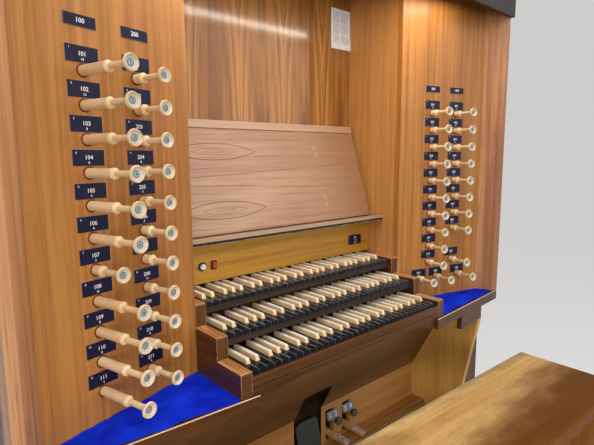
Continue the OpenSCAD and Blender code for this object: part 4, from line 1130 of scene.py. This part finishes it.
TOE_PLATE_W, TOE_PLATE_H, TOE_PLATE_OUT, TOE_PLATE_Z = 56, 29, 9, -468
DIGIT_SIDE, DIGIT_H = 15, 17
toe_plates = Piece("toe_plates")
for x, first in ((190, 1), (272, 3)):
    place = facing(at_datum(x, TOE_Y, TOE_PLATE_Z), (1, 0, 0), (0, 0, 1))
    half = TOE_PLATE_H / 2
    foot = rounded(TOE_PLATE_W, TOE_PLATE_H, 1.0, 0)
    face = [p + mm(0, 0, 1.5 + TOE_PLATE_OUT * (half - p.y * 1000) / TOE_PLATE_H) for p in foot]
    toe_plates.use(toe_plate_grey).loft([foot, face], place)
    toe_plates.use(label_core)
    tilt = Matrix.Rotation(-math.atan(TOE_PLATE_OUT / TOE_PLATE_H), 4, "X")
    for step, dx in enumerate((-DIGIT_SIDE, DIGIT_SIDE)):
        lifted = place @ Matrix.Translation(mm(dx, 0, 1.6 + TOE_PLATE_OUT / 2)) @ tilt
        toe_plates.add(number_mesh(str(first + step), DIGIT_H), lifted)
toe_plates.done(slot="switch_black")


def screw(piece, place, radius=3.6, finish=brass):
    """A countersunk screw head, with its slot painted as a dark strip of shade."""
    piece.use(finish).lathe([(radius, 0), (radius, 0.25), (radius * 0.6, 0.55)], place, 20)
    piece.use(dark_heads_and_slot_shade).plate(radius * 1.5, radius * 0.22, 0.12, place, 0.05, 0.02, 0.5)


TREAD_SCREWS = (193, 217)
TREAD_TOP = -536
for number, x in enumerate(COUPLER_X, 1):
    screws = Piece(f"coupler_{number}_screws")
    for along in TREAD_SCREWS:
        place = Matrix.Translation(at_datum(x, along, TREAD_TOP))
        screw(screws, place @ Matrix.Rotation(0.7 * along, 4, "Z"), 3.4, dark_heads_and_slot_shade)
    screws.done(body=f"coupler_pedal_{number}")


# Paper notice on the back panel

# Left, right, lower and upper edge in millimetres from the datum
NOTICE = (318, 421, 879, 1023)

# Rows of grey lines, in shares of the sheet's height
FIRST_ROW, ROW_STEP, ROW_H, PARAGRAPH_GAP = 0.93, 0.029, 0.009, 0.04
PARAGRAPHS = (9, 8, 7)


def notice():
    """A blank ruled sheet, held at its top, with a lower edge that stands off a little."""
    left, right, low, high = NOTICE

    def point(s, t):
        stand = 0.6 + 3.0 * (1 - t) ** 3 * (0.4 + s)
        return at_datum(left + (right - left) * s, PANEL_Y - stand, low + (high - low) * t)

    sheet = Piece("notice").use(paper).grid(point, 12, 16)
    sheet.use(paper_line)
    row = FIRST_ROW
    for rows in PARAGRAPHS:
        for _ in range(rows):
            row -= ROW_STEP
            short = 0.08 * abs(math.sin(row * 91))
            for s0, s1 in ((0.08, 0.46 - short), (0.52, 0.92 - short)):
                corners = [(s0, row), (s1, row), (s1, row + ROW_H), (s0, row + ROW_H)]
                raised = [sheet.bm.verts.new(point(s, t) - mm(0, 0.15, 0)) for s, t in corners]
                sheet.bm.faces.new(raised).material_index = sheet.index
        row -= PARAGRAPH_GAP
    return sheet.done(smooth=60)


notice()


# Back of the case: rows of screws beside the joints of its boards

back_low, back_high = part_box("case_back")
BACK_BOARDS, BACK_SCREWS = 6, 8
SCREW_SIDE, SCREW_END = 14, 0.06
screw_step = (back_high.z - back_low.z - 2 * SCREW_END) / (BACK_SCREWS - 1)
back_screws = Piece("back_screws")
for joint in range(BACK_BOARDS + 1):
    x = back_low.x + joint * (back_high.x - back_low.x) / BACK_BOARDS
    for side in [-1] * (joint > 0) + [1] * (joint < BACK_BOARDS):
        for step in range(BACK_SCREWS):
            z = back_low.z + SCREW_END + step * screw_step
            origin = Vector((x + mm(side * SCREW_SIDE), back_high.y, z))
            turn = Matrix.Rotation(joint + 1.7 * step, 4, "Z")
            screw(back_screws, facing(origin, (-1, 0, 0), (0, 0, 1)) @ turn, 4.0)
back_screws.done()


# Floor and light

def area_light(name, place, target, size, power, colour=(1, 1, 1), spread=180):
    """A soft rectangular lamp that faces its target; spread is the width of its beam in degrees."""
    data = bpy.data.lights.new(name, "AREA")
    data.shape = "RECTANGLE"
    data.size, data.size_y = size
    data.energy = power
    data.color = colour
    data.spread = math.radians(spread)
    lamp = bpy.data.objects.new(name, data)
    lamp.location = place
    lamp.rotation_euler = (Vector(target) - Vector(place)).to_track_quat("-Z", "Y").to_euler()
    bpy.context.scene.collection.objects.link(lamp)
    return lamp


# Brightness of the background, which the floor meets far away without a horizon
PALE = 0.62
AMBIENT = 0.36
FLOOR_TONE = 0.45
FLOOR_HALF = 40
BACKDROP = (1.0, 0.99, 0.97, 1)


def seen_rays(nodes, links):
    """1 for the rays of the camera, of reflections and of clear materials, 0 for light."""
    path = nodes.new("ShaderNodeLightPath")
    result = path.outputs["Is Camera Ray"]
    for kind in ("Is Glossy Ray", "Is Transmission Ray"):
        larger = nodes.new("ShaderNodeMath")
        larger.operation = "MAXIMUM"
        links.new(result, larger.inputs[0])
        links.new(path.outputs[kind], larger.inputs[1])
        result = larger.outputs[0]
    return result


def make_floor():
    """A pale floor that keeps the object's shadow."""
    s = Shader("floor_pale")
    cloud = s.noise(s.place(), (0.7, 0.7, 0.7), detail=2)
    tone = s.mix(cloud, (FLOOR_TONE - 0.01,) * 3 + (1,), (FLOOR_TONE + 0.01,) * 3 + (1,))
    glow = s.times(seen_rays(s.nodes, s.links), PALE - FLOOR_TONE * AMBIENT)
    s.surface.inputs["Emission Color"].default_value = BACKDROP
    floor = bpy.data.meshes.new("floor")
    corners = ((-1, -1, 0), (1, -1, 0), (1, 1, 0), (-1, 1, 0))
    floor.from_pydata([FLOOR_HALF * Vector(corner) for corner in corners], [], [(0, 1, 2, 3)])
    floor.materials.append(s.finish(tone, 0.9, Emission_Strength=glow, Specular_IOR_Level=0.0))
    made = bpy.data.objects.new("floor", floor)
    made.location.z = -0.0005
    bpy.context.scene.collection.objects.link(made)


def make_world():
    """Even soft light, with a pale background for the camera and for reflections."""
    world = bpy.data.worlds.new("studio")
    bpy.context.scene.world = world
    world.use_nodes = True
    nodes, links = world.node_tree.nodes, world.node_tree.links
    level = nodes.new("ShaderNodeMapRange")
    links.new(seen_rays(nodes, links), level.inputs["Value"])
    level.inputs["To Min"].default_value = AMBIENT
    level.inputs["To Max"].default_value = PALE
    links.new(level.outputs[0], nodes["Background"].inputs["Strength"])
    nodes["Background"].inputs["Color"].default_value = BACKDROP


make_floor()
make_world()
area_light("key", (-1.0, -2.2, 3.4), (0, 0.1, 1.0), (2.8, 2.0), 46, (1.0, 0.98, 0.94))
area_light("fill", (2.6, -2.6, 2.2), (0.2, 0, 0.9), (2.4, 2.4), 22, (0.97, 0.98, 1.0))
area_light("knee_fill", (-1.6, -3.1, 1.15), (0.1, 0.3, 0.4), (1.8, 1.0), 9, (1.0, 0.97, 0.92), 70)
lamp_low, lamp_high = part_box("console_lamp")
area_light("niche_lamp", (0, (lamp_low.y + lamp_high.y) / 2, lamp_low.z - 0.004),
           (0, 0.2, 0.8), (1.15, 0.03), 5.0, (1.0, 0.9, 0.76))
